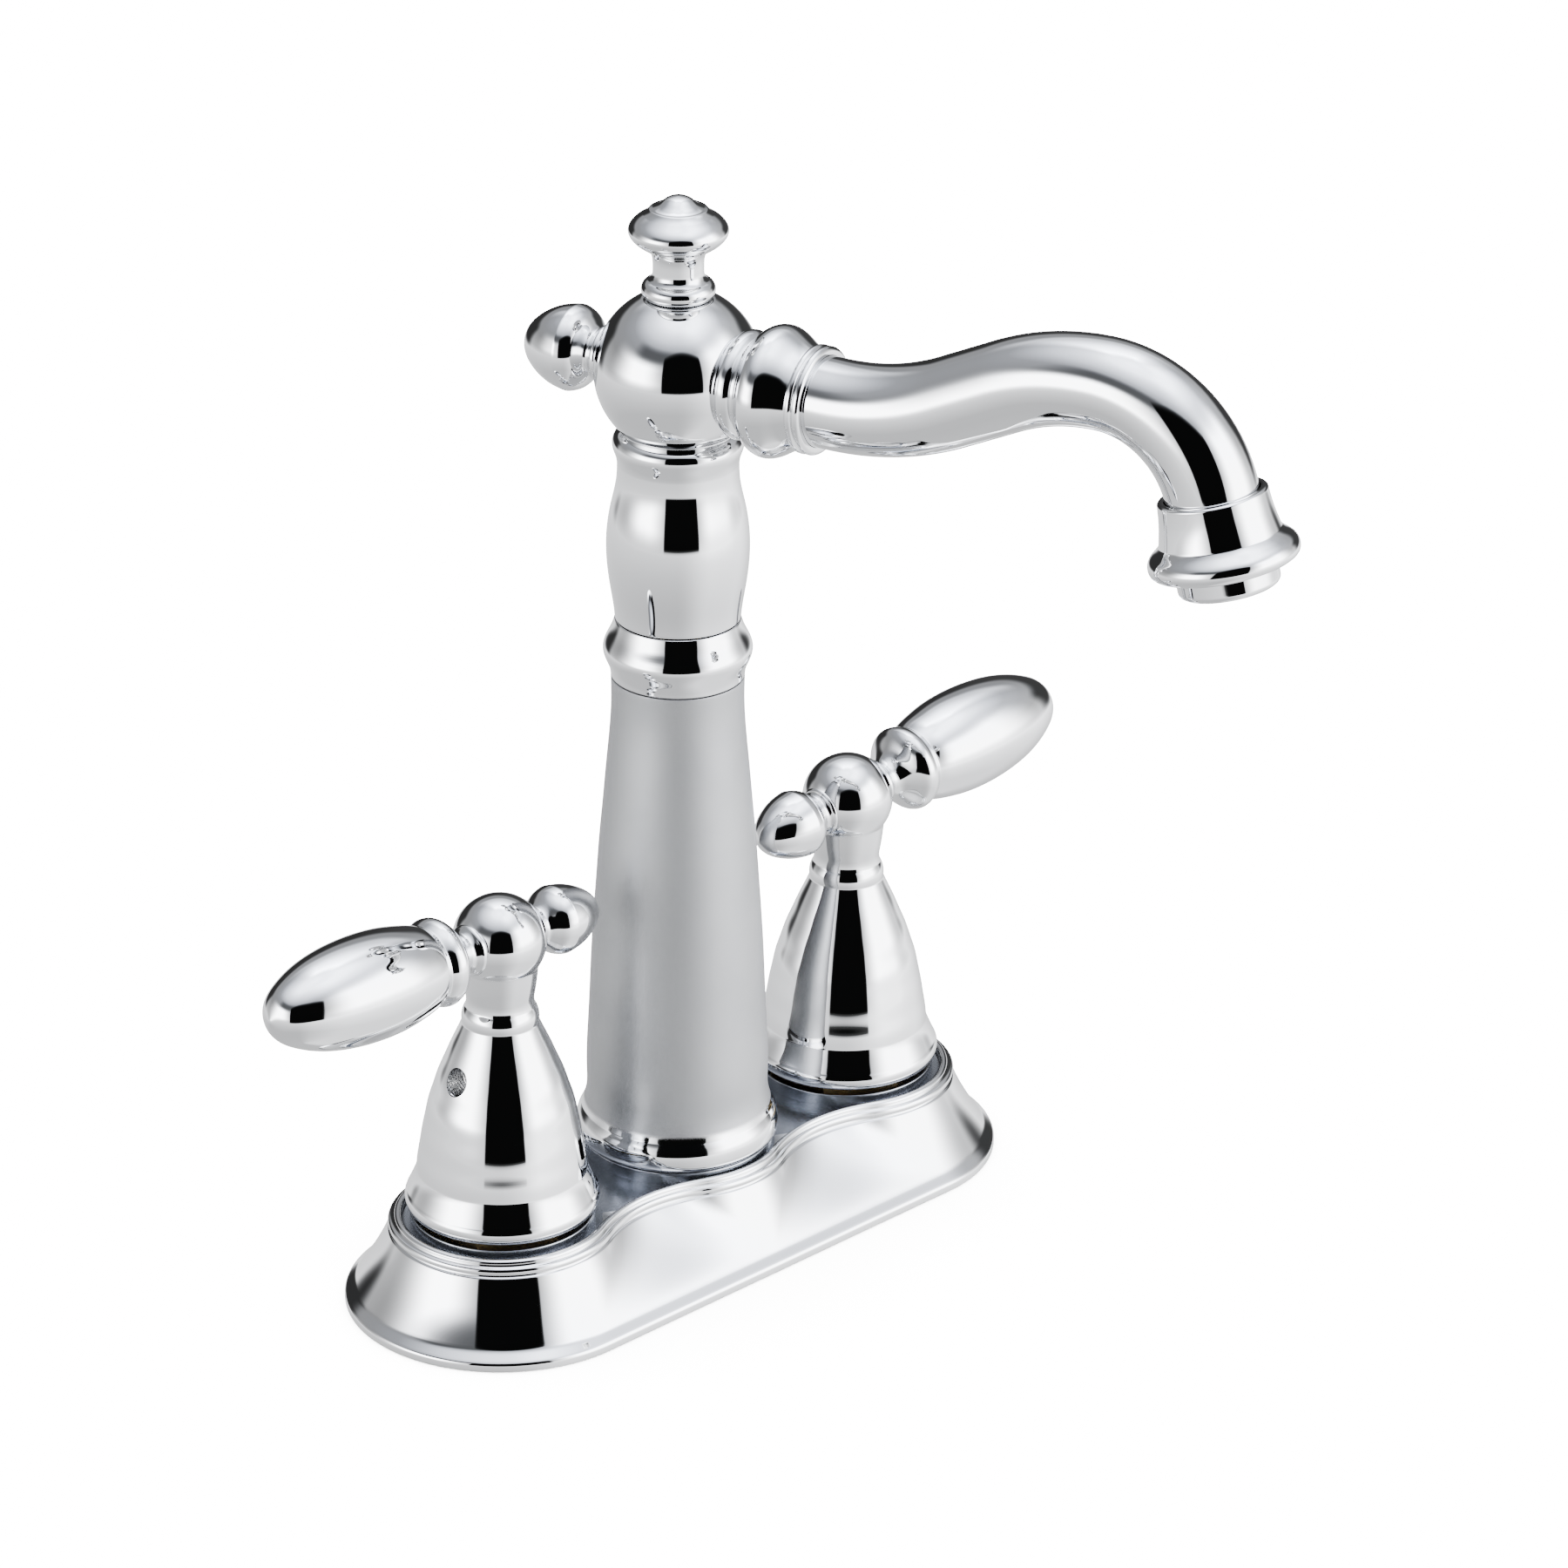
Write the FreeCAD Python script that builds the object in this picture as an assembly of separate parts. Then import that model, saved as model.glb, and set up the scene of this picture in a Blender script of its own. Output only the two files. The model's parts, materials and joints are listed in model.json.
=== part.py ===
import FreeCAD, Part
import math
import os

# Bar faucet with two lever handles and a swivel spout, in millimetres.
# The origin is on the column axis, at the underside of the deck plate.
# +X points to the cold handle, -Y to the user, +Z up.

# Overall places
handle_spacing = 101.6
spout_turn_at_rest = 16.0
slip = 0.05
face_gap = 0.1
cut_margin = 1.0

# Deck plate: a flared skirt, three lobes with a double bead, and three round seats
skirt_radius = 33.75
skirt_edge_height = 1.8
skirt_ledge_radius = 31.5
skirt_ledge_height = 3.7
skirt_edge_waist = 0.999
skirt_top_radius = 24.2
skirt_top_height = 17.2
skirt_top_waist = 0.74
skirt_hollow = 0.5
deck_wall = 2.0
lower_bead_radius = 1.15
lower_bead_path = 23.2
lower_bead_height = 18.3
bead_joint = 19.1
upper_bead_radius = 0.85
upper_bead_path = 22.15
upper_bead_height = 19.6
bead_top = 20.4
bead_steps = 4
recess_floor = 18.2
seat_radius = 19.6
column_seat_radius = 20.6
seat_rise = 2.8

# Base gasket
gasket_thickness = 2.0
gasket_margin = 0.3

# Valve body: two threaded shanks, two barrels and the waterway between them
shank_radius = 10.3
shank_length = 50.0
shank_end_radius = 10.0
shank_end_length = 18.0
shank_bore = 6.0
barrel_radius = 12.4
barrel_bore = 9.0
barrel_floor = 9.0
barrel_top = 27.0
inlet_bore = 1.8
pocket_radius = 3.5
pocket_depth = 3.5
valve_flange_radius = 17.0
valve_flange_thickness = 3.0
bridge_radius = 4.5
bridge_bore = 2.6
boss_radius = 10.0
riser_socket_floor = 5.0

# Fasteners under the counter
mount_nut_wall = 4.7
mount_nut_height = 8.0
mount_nut_drop = 22.0
mount_washer_width = 8.65
mount_washer_thickness = 1.6

# Deck nuts and bonnet nuts
deck_nut_wall = 2.1
deck_nut_height = 4.0
bonnet_wall = 4.6
bonnet_height = 6.5
bonnet_thread_length = 5.0

# Cartridge, stem, rubber seat and spring
cartridge_neck_radius = 6.4
cartridge_top = 40.0
stem_radius = 4.0
stem_disc_radius = 6.2
stem_disc_height = 3.0
rubber_seat_radius = 3.4
rubber_seat_bore = 1.6
rubber_seat_rise = 3.5
spring_radius = 2.6
spring_wire = 0.35
spring_turns = 2.5
spring_pitch = 1.05

# Riser post, its seals and its retaining ring
riser_radius = 6.35
riser_bore = 4.8
post_radius = 8.6
post_flange_radius = 11.0
post_flange_height = 2.4
seal_height = 1.2
seal_corner = 0.35
seal_groove_width = 1.6
seal_groove_depth = 1.24
seal_rises = (11.7, 18.7)
clip_rise = 5.7
clip_thickness = 1.0
clip_depth = 0.9
clip_reach = 0.8
clip_slot = 3.0
swivel_washer_thickness = 1.6

# Column shell and coupling ring
foot_ring_radius = 21.8
foot_ring_height = 25.0
column_wall = 1.8
column_shelf = 2.5
lower_joint = 129.2
upper_joint = 142.3
joint_gap = 0.3
coupling_radius = 15.75
coupling_widest_rise = 5.95
coupling_shelf = 2.0

# Spout hub and its finials
ball_rise = 54.8
ball_radius = 17.5
spigot_radius = 10.8
spigot_clearance = 0.3
hub_bore_drop = 27.1
post_end_gap = 2.0
hub_ring_drop = 13.0
hub_neck_drop = 20.1
hub_waterway = 6.0
outlet_socket = 8.05
outlet_socket_floor = 8.0
screw_radius = 3.0
screw_length = 5.0
top_flat_rise = 15.8
top_finial_length = 22.0
rear_flat = 16.3
rear_reach = 36.4
front_flat = 14.3

# Spout tube: level, then rising, over the crown and down to the outlet
tube_radius = 9.5
tube_wall = 1.6
tube_start = 22.0
collar_end = 34.5
rise_start = 38.0
rise_angle = 25.6
rise_bend = 59.7
rise_straight = 13.8
crown_bend = 49.5
fall_bend = 25.3
fall_angle = 76.0
tube_tail = 3.0

# Outlet
outlet_setback = 1.0
outlet_lip_gap = 0.3
outlet_lip_radius = 11.2
outlet_skirt_radius = 15.4
outlet_length = 15.2
outlet_web = 4.0
outlet_washer_thickness = 1.0
insert_radius = 10.4
insert_bore = 7.6
insert_length = 4.6
screen_thickness = 0.6
screen_holes = 6
screen_hole_ring = 4.4
screen_hole_radius = 1.6

# Handles
rim_gap = 1.5
rim_radius = 20.6
rim_inside = 18.9
bell_wall = 1.8
bell_ceiling_drop = 38.0
hub_ball_rise = 63.0
hub_ball_radius = 9.9
hub_flat = 7.6
hot_lever_rise = 2.3
cold_lever_rise = 4.7
lever_length = 62.2
lever_collar_radius = 9.5
lever_widest_radius = 11.3
handle_finial_length = 26.8
handle_finial_radius = 7.5
set_screw_drop = 29.0
stem_top_drop = 14.0
set_screw_radius = 2.9
set_screw_length = 5.0
set_screw_key = 3.0

half_spacing = handle_spacing / 2
seat_height = recess_floor + seat_rise
ball_height = upper_joint + ball_rise
top_flat = ball_height + top_flat_rise
hub_bore_top = ball_height - hub_bore_drop
post_top = hub_bore_top - post_end_gap
clip_height = upper_joint + clip_rise
seal_heights = [upper_joint + rise for rise in seal_rises]
rim_height = seat_height + rim_gap
hub_ball_height = seat_height + hub_ball_rise
bell_ceiling = hub_ball_height - bell_ceiling_drop
set_screw_height = hub_ball_height - set_screw_drop
stem_top = hub_ball_height - stem_top_drop
up = FreeCAD.Vector(0, 0, 1)


def at(x, y, z):
    return FreeCAD.Vector(x, y, z)


class Outline:
    """A half section drawn as (radius, height) steps and turned about Z."""

    def __init__(self, radius, height):
        self.start = self.here = at(radius, 0, height)
        self.edges = []

    def line(self, radius, height):
        end = at(radius, 0, height)
        self.edges.append(Part.makeLine(self.here, end))
        self.here = end
        return self

    def arc(self, middle, end):
        middle, end = at(middle[0], 0, middle[1]), at(end[0], 0, end[1])
        self.edges.append(Part.Arc(self.here, middle, end).toShape())
        self.here = end
        return self

    def curve(self, *points, leaving=None, arriving=None):
        places = [self.here] + [at(radius, 0, height) for radius, height in points]
        spline = Part.BSplineCurve()
        if leaving and arriving:
            spline.interpolate(Points=places, InitialTangent=at(leaving[0], 0, leaving[1]),
                               FinalTangent=at(arriving[0], 0, arriving[1]))
        else:
            spline.interpolate(Points=places)
        self.edges.append(spline.toShape())
        self.here = places[-1]
        return self

    def turned(self):
        edges = self.edges
        if self.here.distanceToPoint(self.start) > 1e-6:
            edges = edges + [Part.makeLine(self.here, self.start)]
        return Part.Face(Part.Wire(edges)).revolve(at(0, 0, 0), up, 360)


def spread(points, drawn, bottom, top):
    """Points of a profile drawn between two heights, spread to lie between bottom and top."""
    scale = (top - bottom) / (drawn[1] - drawn[0])
    return [(radius, bottom + (height - drawn[0]) * scale) for radius, height in points]


def ring(outer, bore, bottom, top):
    solid = Part.makeCylinder(outer, top - bottom, at(0, 0, bottom))
    if bore:
        length = top - bottom + 2 * cut_margin
        solid = solid.cut(Part.makeCylinder(bore, length, at(0, 0, bottom - cut_margin)))
    return solid


def hex_prism(across, bottom, top):
    corner = across / math.sqrt(3)
    angles = [math.radians(60 * step + 30) for step in range(6)]
    points = [at(corner * math.cos(angle), corner * math.sin(angle), bottom) for angle in angles]
    return Part.Face(Part.makePolygon(points + points[:1])).extrude(up * (top - bottom))


def moved(solid, x=0.0, y=0.0, z=0.0):
    copy = solid.copy()
    copy.translate(at(x, y, z))
    return copy


def aimed(solid, direction, origin):
    """Turn a solid that was built along +Z so that it points along direction from origin."""
    copy = solid.copy()
    copy.Placement = FreeCAD.Placement(origin, FreeCAD.Rotation(up, direction)).multiply(copy.Placement)
    return copy


def swung(solid):
    """Turn a spout piece from straight ahead to its place at rest."""
    copy = solid.copy()
    copy.rotate(at(0, 0, 0), up, spout_turn_at_rest)
    return copy


# Deck plate

def lobed_wire(radius, waist, height):
    """Three equal lobes on the three axes, joined by hollow arcs that touch them."""
    middle = half_spacing / 2
    depth = radius * waist
    hollow = (middle ** 2 + depth ** 2 - radius ** 2) / (2 * (radius - depth))
    angle = math.atan2(depth + hollow, middle)
    across, along = radius * math.cos(angle), radius * math.sin(angle)
    edges = []

    def arc(first, through, last):
        points = [at(x, y, height) for x, y in (first, through, last)]
        edges.append(Part.Arc(*points).toShape())

    def front_row(side):
        spans = ((-half_spacing, 0.0), (0.0, half_spacing))
        for left, right in spans:
            middle_point = ((left + right) / 2, side * depth)
            yield (left + across, side * along), middle_point, (right - across, side * along)

    front = list(front_row(-1))
    back = [tuple(reversed(span)) for span in reversed(list(front_row(1)))]
    arc(*front[0])
    arc(front[0][2], (0.0, -radius), front[1][0])
    arc(*front[1])
    arc(front[1][2], (half_spacing + radius, 0.0), back[0][0])
    arc(*back[0])
    arc(back[0][2], (0.0, radius), back[1][0])
    arc(*back[1])
    arc(back[1][2], (-half_spacing - radius, 0.0), front[0][0])
    return Part.Wire(edges)


def skirt_sections(inset, heights):
    """Wires up the wall of the skirt, which leans in, is slightly hollow and narrows at the waist."""
    wires = []
    for height in heights:
        rise = min(max((height - skirt_ledge_height) / (skirt_top_height - skirt_ledge_height), 0.0), 1.0)
        radius = skirt_ledge_radius + (skirt_top_radius - skirt_ledge_radius) * rise
        radius -= skirt_hollow * math.sin(math.pi * rise)
        waist = skirt_edge_waist + (skirt_top_waist - skirt_edge_waist) * rise ** 1.4
        wires.append(lobed_wire(radius - inset, waist, height))
    return wires


def bead_sections(path_radius, bead_radius, middle, bottom, top, side):
    """Wires up one side of a bead whose round section is centred at path_radius and middle."""
    low, high = [math.asin((height - middle) / bead_radius) for height in (bottom, top)]
    angles = [low + (high - low) * step / bead_steps for step in range(bead_steps + 1)]
    return [lobed_wire(path_radius + side * bead_radius * math.cos(angle), skirt_top_waist,
                       middle + bead_radius * math.sin(angle)) for angle in angles]


def deck_plate():
    """Skirt and the two beads stacked on it, with a recess in the top, round seats and the hollow."""
    edge = Part.Face(lobed_wire(skirt_radius, skirt_edge_waist, 0)).extrude(up * skirt_edge_height)
    ledge = Part.makeLoft([lobed_wire(skirt_radius, skirt_edge_waist, skirt_edge_height),
                           lobed_wire(skirt_ledge_radius, skirt_edge_waist, skirt_ledge_height)], True)
    rise = skirt_top_height - skirt_ledge_height
    outside_heights = [skirt_ledge_height + rise * share for share in (0, 0.25, 0.5, 0.75, 1)]
    skirt = Part.makeLoft(skirt_sections(0, outside_heights), True)
    lower = bead_sections(lower_bead_path, lower_bead_radius, lower_bead_height,
                          skirt_top_height, bead_joint, 1)
    upper = bead_sections(upper_bead_path, upper_bead_radius, upper_bead_height,
                          bead_joint, bead_top, 1)
    plate = edge.fuse([ledge, skirt, Part.makeLoft(lower, True), Part.makeLoft(upper, True)])

    inner_radius = upper_bead_path - upper_bead_radius
    recess = Part.Face(lobed_wire(inner_radius, skirt_top_waist, recess_floor)).extrude(
        up * (upper_bead_height - recess_floor))
    crest = bead_sections(upper_bead_path, upper_bead_radius, upper_bead_height,
                          upper_bead_height, bead_top, -1)
    plate = plate.cut([recess, Part.makeLoft(crest, True)])

    seats = [moved(ring(seat_radius, 0, recess_floor, seat_height), x) for x in (-half_spacing, half_spacing)]
    plate = plate.fuse(seats + [ring(column_seat_radius, 0, recess_floor, seat_height)])

    inside_top = recess_floor - deck_wall
    inside_rise = inside_top - skirt_ledge_height
    inside_heights = [skirt_ledge_height + inside_rise * share for share in (0, 0.5, 1)]
    inside = Part.makeLoft(skirt_sections(deck_wall, inside_heights), True)
    foot = Part.Face(lobed_wire(skirt_ledge_radius - deck_wall, skirt_edge_waist, -cut_margin)).extrude(
        up * (skirt_ledge_height + cut_margin))
    plate = plate.cut([foot, inside])
    barrel_hole = ring(barrel_radius + 2 * slip, 0, 0, seat_height + cut_margin)
    holes = [moved(barrel_hole, x) for x in (-half_spacing, half_spacing)]
    holes.append(ring(riser_radius + 2 * slip, 0, 0, seat_height + cut_margin))
    return plate.cut(holes).removeSplitter()


def base_gasket():
    radius = skirt_ledge_radius - deck_wall - gasket_margin
    sheet = Part.Face(lobed_wire(radius, skirt_edge_waist, 0)).extrude(up * gasket_thickness)
    hole = ring(shank_radius + slip, 0, -cut_margin, gasket_thickness + cut_margin)
    return sheet.cut([moved(hole, x) for x in (-half_spacing, half_spacing)])


# Valve body and what is fastened to it

boss_top = recess_floor - deck_wall - 2 * face_gap
bridge_height = boss_top - bridge_radius


def valve_body():
    flange_top = gasket_thickness + valve_flange_thickness
    bridge_start = at(-half_spacing, 0, bridge_height)
    bridge = Part.makeCylinder(bridge_radius, handle_spacing, bridge_start, at(1, 0, 0))
    body = bridge.fuse(ring(boss_radius, 0, gasket_thickness, boss_top))
    bores = [ring(riser_radius + slip, 0, riser_socket_floor, boss_top + cut_margin)]
    for x in (-half_spacing, half_spacing):
        end_top = shank_end_length - shank_length
        outside = (Outline(0, -shank_length).line(shank_end_radius, -shank_length)
                   .line(shank_end_radius, end_top).line(shank_radius, end_top)
                   .line(shank_radius, gasket_thickness).line(valve_flange_radius, gasket_thickness)
                   .line(valve_flange_radius, flange_top).line(barrel_radius, flange_top)
                   .line(barrel_radius, barrel_top).line(0, barrel_top).turned())
        body = body.fuse(moved(outside, x))
        pocket_floor = barrel_floor - pocket_depth
        inside = (Outline(0, -shank_length - cut_margin).line(shank_bore, -shank_length - cut_margin)
                  .line(shank_bore, pocket_floor - 2).line(inlet_bore, pocket_floor - 2)
                  .line(inlet_bore, pocket_floor).line(pocket_radius, pocket_floor)
                  .line(pocket_radius, barrel_floor).line(barrel_bore, barrel_floor)
                  .line(barrel_bore, barrel_top + cut_margin).line(0, barrel_top + cut_margin).turned())
        bores.append(moved(inside, x))
    reach = half_spacing - barrel_bore + cut_margin
    bores.append(Part.makeCylinder(bridge_bore, 2 * reach, at(-reach, 0, bridge_height), at(1, 0, 0)))
    return body.cut(bores).removeSplitter()


def mounting_nut():
    top = -mount_nut_drop
    flat_radius = shank_radius + mount_nut_wall
    flange = ring(flat_radius + 1.5, 0, top - 2, top)
    nut = hex_prism(2 * flat_radius, top - mount_nut_height, top).fuse(flange)
    return nut.cut(ring(shank_radius + slip, 0, top - mount_nut_height - cut_margin, top + cut_margin))


def mounting_washer():
    bore = shank_radius + slip
    return ring(bore + mount_washer_width, bore, -mount_nut_drop, mount_washer_thickness - mount_nut_drop)


def deck_nut():
    top = seat_height + deck_nut_height
    return hex_prism(2 * (barrel_radius + deck_nut_wall), seat_height, top).cut(
        ring(barrel_radius + slip, 0, seat_height - cut_margin, top + cut_margin))


def bonnet_nut():
    hex_bottom = barrel_top + face_gap
    thread = ring(barrel_bore - slip, 0, barrel_top - bonnet_thread_length, hex_bottom)
    across = 2 * (cartridge_neck_radius + bonnet_wall)
    nut = hex_prism(across, hex_bottom, hex_bottom + bonnet_height).fuse(thread)
    bore = ring(cartridge_neck_radius + slip, 0, barrel_top - bonnet_thread_length - cut_margin,
                hex_bottom + bonnet_height + cut_margin)
    return nut.cut(bore).removeSplitter()


cartridge_bottom = barrel_floor + rubber_seat_rise + face_gap
disc_bottom = cartridge_bottom + face_gap
disc_top = disc_bottom + stem_disc_height


def cartridge():
    shoulder = barrel_top - bonnet_thread_length
    inner_top = disc_top + 2 * face_gap
    cavity = stem_disc_radius + slip
    return (Outline(cavity, cartridge_bottom).line(barrel_bore - slip, cartridge_bottom)
            .line(barrel_bore - slip, shoulder).line(cartridge_neck_radius, shoulder)
            .line(cartridge_neck_radius, cartridge_top).line(stem_radius + slip, cartridge_top)
            .line(stem_radius + slip, inner_top).line(cavity, inner_top).turned())


spring_bottom = barrel_floor - pocket_depth + slip / 2
spring_rise = spring_pitch * spring_turns
rubber_seat_bottom = spring_bottom + spring_rise + 2 * spring_wire + slip / 2


def rubber_seat():
    return ring(rubber_seat_radius, rubber_seat_bore, rubber_seat_bottom, barrel_floor + rubber_seat_rise)


def seat_spring():
    helix = Part.makeHelix(spring_pitch, spring_rise, spring_radius)
    circle = Part.Wire(Part.makeCircle(spring_wire, at(spring_radius, 0, 0), at(0, 1, 0)))
    return moved(Part.Wire(helix).makePipeShell([circle], True, True), z=spring_bottom + spring_wire)


def stem():
    return (Outline(0, disc_bottom).line(stem_disc_radius, disc_bottom).line(stem_disc_radius, disc_top)
            .line(stem_radius, disc_top).line(stem_radius, stem_top).line(0, stem_top).turned())


# Riser post, seals and swivel

post_bottom = lower_joint + joint_gap / 2 + coupling_shelf
washer_top = post_bottom + post_flange_height + swivel_washer_thickness


def riser_post():
    flange_top = post_bottom + post_flange_height
    section = (Outline(riser_bore, riser_socket_floor).line(riser_radius, riser_socket_floor)
               .line(riser_radius, post_bottom).line(post_flange_radius, post_bottom)
               .line(post_flange_radius, flange_top).line(post_radius, flange_top))
    grooves = [(clip_height, clip_thickness + 2 * face_gap, clip_depth + face_gap)]
    grooves += [(height, seal_groove_width, seal_groove_depth) for height in seal_heights]
    for middle, width, depth in grooves:
        section.line(post_radius, middle - width / 2).line(post_radius - depth, middle - width / 2)
        section.line(post_radius - depth, middle + width / 2).line(post_radius, middle + width / 2)
    return section.line(post_radius, post_top).line(riser_bore, post_top).turned()


def spout_seals():
    """Two rubber rings in the grooves of the post, with their corners taken off."""
    inner, outer = post_radius - seal_groove_depth + slip / 2, post_radius - slip / 2
    side, corner = seal_height / 2, seal_corner
    seal = (Outline(inner + corner, -side).line(outer - corner, -side).line(outer, corner - side)
            .line(outer, side - corner).line(outer - corner, side).line(inner + corner, side)
            .line(inner, side - corner).line(inner, corner - side).turned())
    return Part.makeCompound([moved(seal, z=height) for height in seal_heights])


def retaining_ring():
    bottom = clip_height - clip_thickness / 2
    clip = ring(post_radius + clip_reach, post_radius - clip_depth, bottom, bottom + clip_thickness)
    return clip.cut(Part.makeBox(2 * post_radius, clip_slot, 2 * clip_thickness,
                                 at(0, -clip_slot / 2, clip_height - clip_thickness)))


def swivel_washer():
    return ring(post_flange_radius, post_radius + slip, washer_top - swivel_washer_thickness, washer_top)


# Column

def column_shell():
    bottom, top = seat_height, lower_joint - joint_gap / 2
    shelf = top - column_shelf
    wall = column_wall
    neck_top = foot_ring_height + 6.0
    drawn = (31.0, 129.05)
    taper = spread([(19.75, 31.0), (19.55, 36.7), (19.1, 50.2), (18.35, 66.9), (17.25, 83.4), (16.65, 91.6),
                    (15.9, 99.8), (15.2, 107.9), (14.45, 116.0), (14.05, 123.0), (14.1, 129.05)],
                   drawn, neck_top, top)
    hollow = spread([(15.2 - wall, 107.9), (17.25 - wall, 83.4), (19.1 - wall, 50.2), (19.0 - wall, 31.0)],
                    drawn, neck_top, top)
    section = (Outline(19.0, bottom).line(19.8, bottom)
               .arc((21.3, bottom + 0.9), (foot_ring_radius, foot_ring_height - 1.2))
               .arc((foot_ring_radius - 0.1, foot_ring_height + 0.6), (20.6, foot_ring_height + 3.0))
               .curve(*taper))
    section.line(riser_radius + slip, top).line(riser_radius + slip, shelf).line(14.0 - wall, shelf)
    return section.curve(*hollow).line(19.0 - wall, bottom).turned()


def coupling_ring():
    bottom, top = lower_joint + joint_gap / 2, upper_joint - joint_gap / 2
    shelf = bottom + coupling_shelf
    inside = spigot_radius + spigot_clearance
    return (Outline(riser_radius + slip, bottom).line(14.1, bottom)
            .curve((14.35, bottom + 1.65), (coupling_radius, bottom + coupling_widest_rise),
                   (14.2, top - 2.85), (13.25, top))
            .line(inside, top).line(inside, shelf).line(riser_radius + slip, shelf).turned())


# Spout

def spout_hub():
    """Spigot, baluster, ring and ball in one casting, bored for the post and the waterway."""
    bottom = upper_joint + joint_gap / 2
    neck = ball_height - hub_neck_drop
    baluster = spread([(13.35, 143.6), (14.3, 150.0), (15.0, 158.9), (14.2, 166.5), (12.8, 173.7),
                       (12.7, 177.0)], (142.45, 177.0), bottom, neck)
    ring_top = ball_height - hub_ring_drop
    ring_meets_ball = math.sqrt(ball_radius ** 2 - hub_ring_drop ** 2)
    flat = math.sqrt(ball_radius ** 2 - (top_flat - ball_height) ** 2)
    bore = post_radius + slip
    groove = post_radius + clip_reach + face_gap
    groove_half = clip_thickness / 2 + face_gap
    section = (Outline(bore, washer_top + face_gap).line(spigot_radius, washer_top + face_gap)
               .line(spigot_radius, bottom).line(13.25, bottom)
               .curve(*baluster).curve((13.0, neck + 1.6), (13.7, neck + 3.9), (13.2, ring_top - 1.2),
                                       (ring_meets_ball, ring_top))
               .arc((ball_radius, ball_height), (flat, top_flat)).line(screw_radius + slip, top_flat)
               .line(screw_radius + slip, top_flat - screw_length - 1).line(0, top_flat - screw_length - 1)
               .line(0, ball_height).line(hub_waterway, ball_height).line(hub_waterway, hub_bore_top)
               .line(bore, hub_bore_top).line(bore, clip_height + groove_half)
               .line(groove, clip_height + groove_half).line(groove, clip_height - groove_half)
               .line(bore, clip_height - groove_half))
    hub = section.turned()
    front, back = at(0, -1, 0), at(0, 1, 0)
    centre = at(0, 0, ball_height)
    spot = ring(ball_radius, 0, 0, ball_radius)
    socket = ring(outlet_socket, 0, outlet_socket_floor, ball_radius + cut_margin)
    waterway = ring(hub_waterway - slip, 0, 0, outlet_socket_floor + cut_margin)
    tapped = ring(screw_radius + slip, 0, rear_flat - screw_length - 1, ball_radius + cut_margin)
    cuts = [aimed(moved(spot, z=front_flat), front, centre), aimed(socket, front, centre),
            aimed(waterway, front, centre), aimed(moved(spot, z=rear_flat), back, centre),
            aimed(tapped, back, centre)]
    return swung(hub.cut(cuts))


def top_finial():
    """Mushroom knob: a collar, a neck, a wide cap and a small stepped tip."""
    def rising(*points):
        return spread(points, (0, 22.0), top_flat, top_flat + top_finial_length)

    return (Outline(0, top_flat - screw_length).line(screw_radius, top_flat - screw_length)
            .line(screw_radius, top_flat).line(6.3, top_flat)
            .arc(*rising((7.7, 1.9), (6.2, 3.9)))
            .curve(*rising((5.5, 4.8), (5.3, 6.5), (5.6, 9.5), (6.4, 10.9)))
            .line(*rising((7.0, 10.9))[0])
            .curve(*rising((9.3, 12.6), (10.35, 14.6), (9.3, 16.6), (7.2, 18.1)))
            .curve(*rising((6.5, 18.7), (6.0, 19.3))).line(*rising((5.3, 19.4))[0])
            .curve(*rising((4.3, 19.9), (2.6, 21.3), (0.9, 21.9), (0, 22.0))).turned())


def acorn(flat, neck, widest, tip):
    """A finial turned about its screw: foot ring, neck, widest edge and a blunt dome."""
    length = tip - flat
    return (Outline(0, flat - screw_length).line(screw_radius, flat - screw_length).line(screw_radius, flat)
            .line(neck * 1.16, flat)
            .arc((neck * 1.28, flat + 0.05 * length), (neck * 1.1, flat + 0.09 * length))
            .curve((neck, flat + 0.13 * length), (widest * 0.78, flat + 0.245 * length),
                   (widest * 0.96, flat + 0.36 * length), (widest, flat + 0.42 * length))
            .curve((widest * 0.94, flat + 0.56 * length), (widest * 0.74, flat + 0.76 * length),
                   (widest * 0.36, flat + 0.94 * length), (0, tip)).turned())


def rear_finial():
    return swung(aimed(acorn(rear_flat, 5.0, 9.25, rear_reach), at(0, 1, 0), at(0, 0, ball_height)))


def spout_collar():
    """Ring on the ball, flare, hollow taper and a double bead, bored for the tube."""
    spigot = outlet_socket - slip
    bore = tube_radius + slip

    def outward(*points):
        return spread(points, (14.3, 34.5), front_flat, collar_end)

    section = (Outline(hub_waterway, outlet_socket_floor).line(spigot, outlet_socket_floor)
               .line(spigot, front_flat).line(10.5, front_flat)
               .arc(*outward((11.5, 16.1), (10.5, 18.2))).line(*outward((10.5, 18.8))[0])
               .curve(*outward((12.3, 20.0), (13.8, 22.5), (13.9, 24.0), (12.8, 26.8), (11.2, 29.5),
                               (10.6, 31.0)))
               .arc(*outward((11.4, 31.9), (10.8, 32.7))).arc(*outward((11.35, 33.5), (10.45, 34.5))))
    section.line(bore, collar_end).line(bore, tube_start).line(hub_waterway, tube_start)
    return swung(aimed(section.turned(), at(0, -1, 0), at(0, 0, ball_height)))


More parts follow.
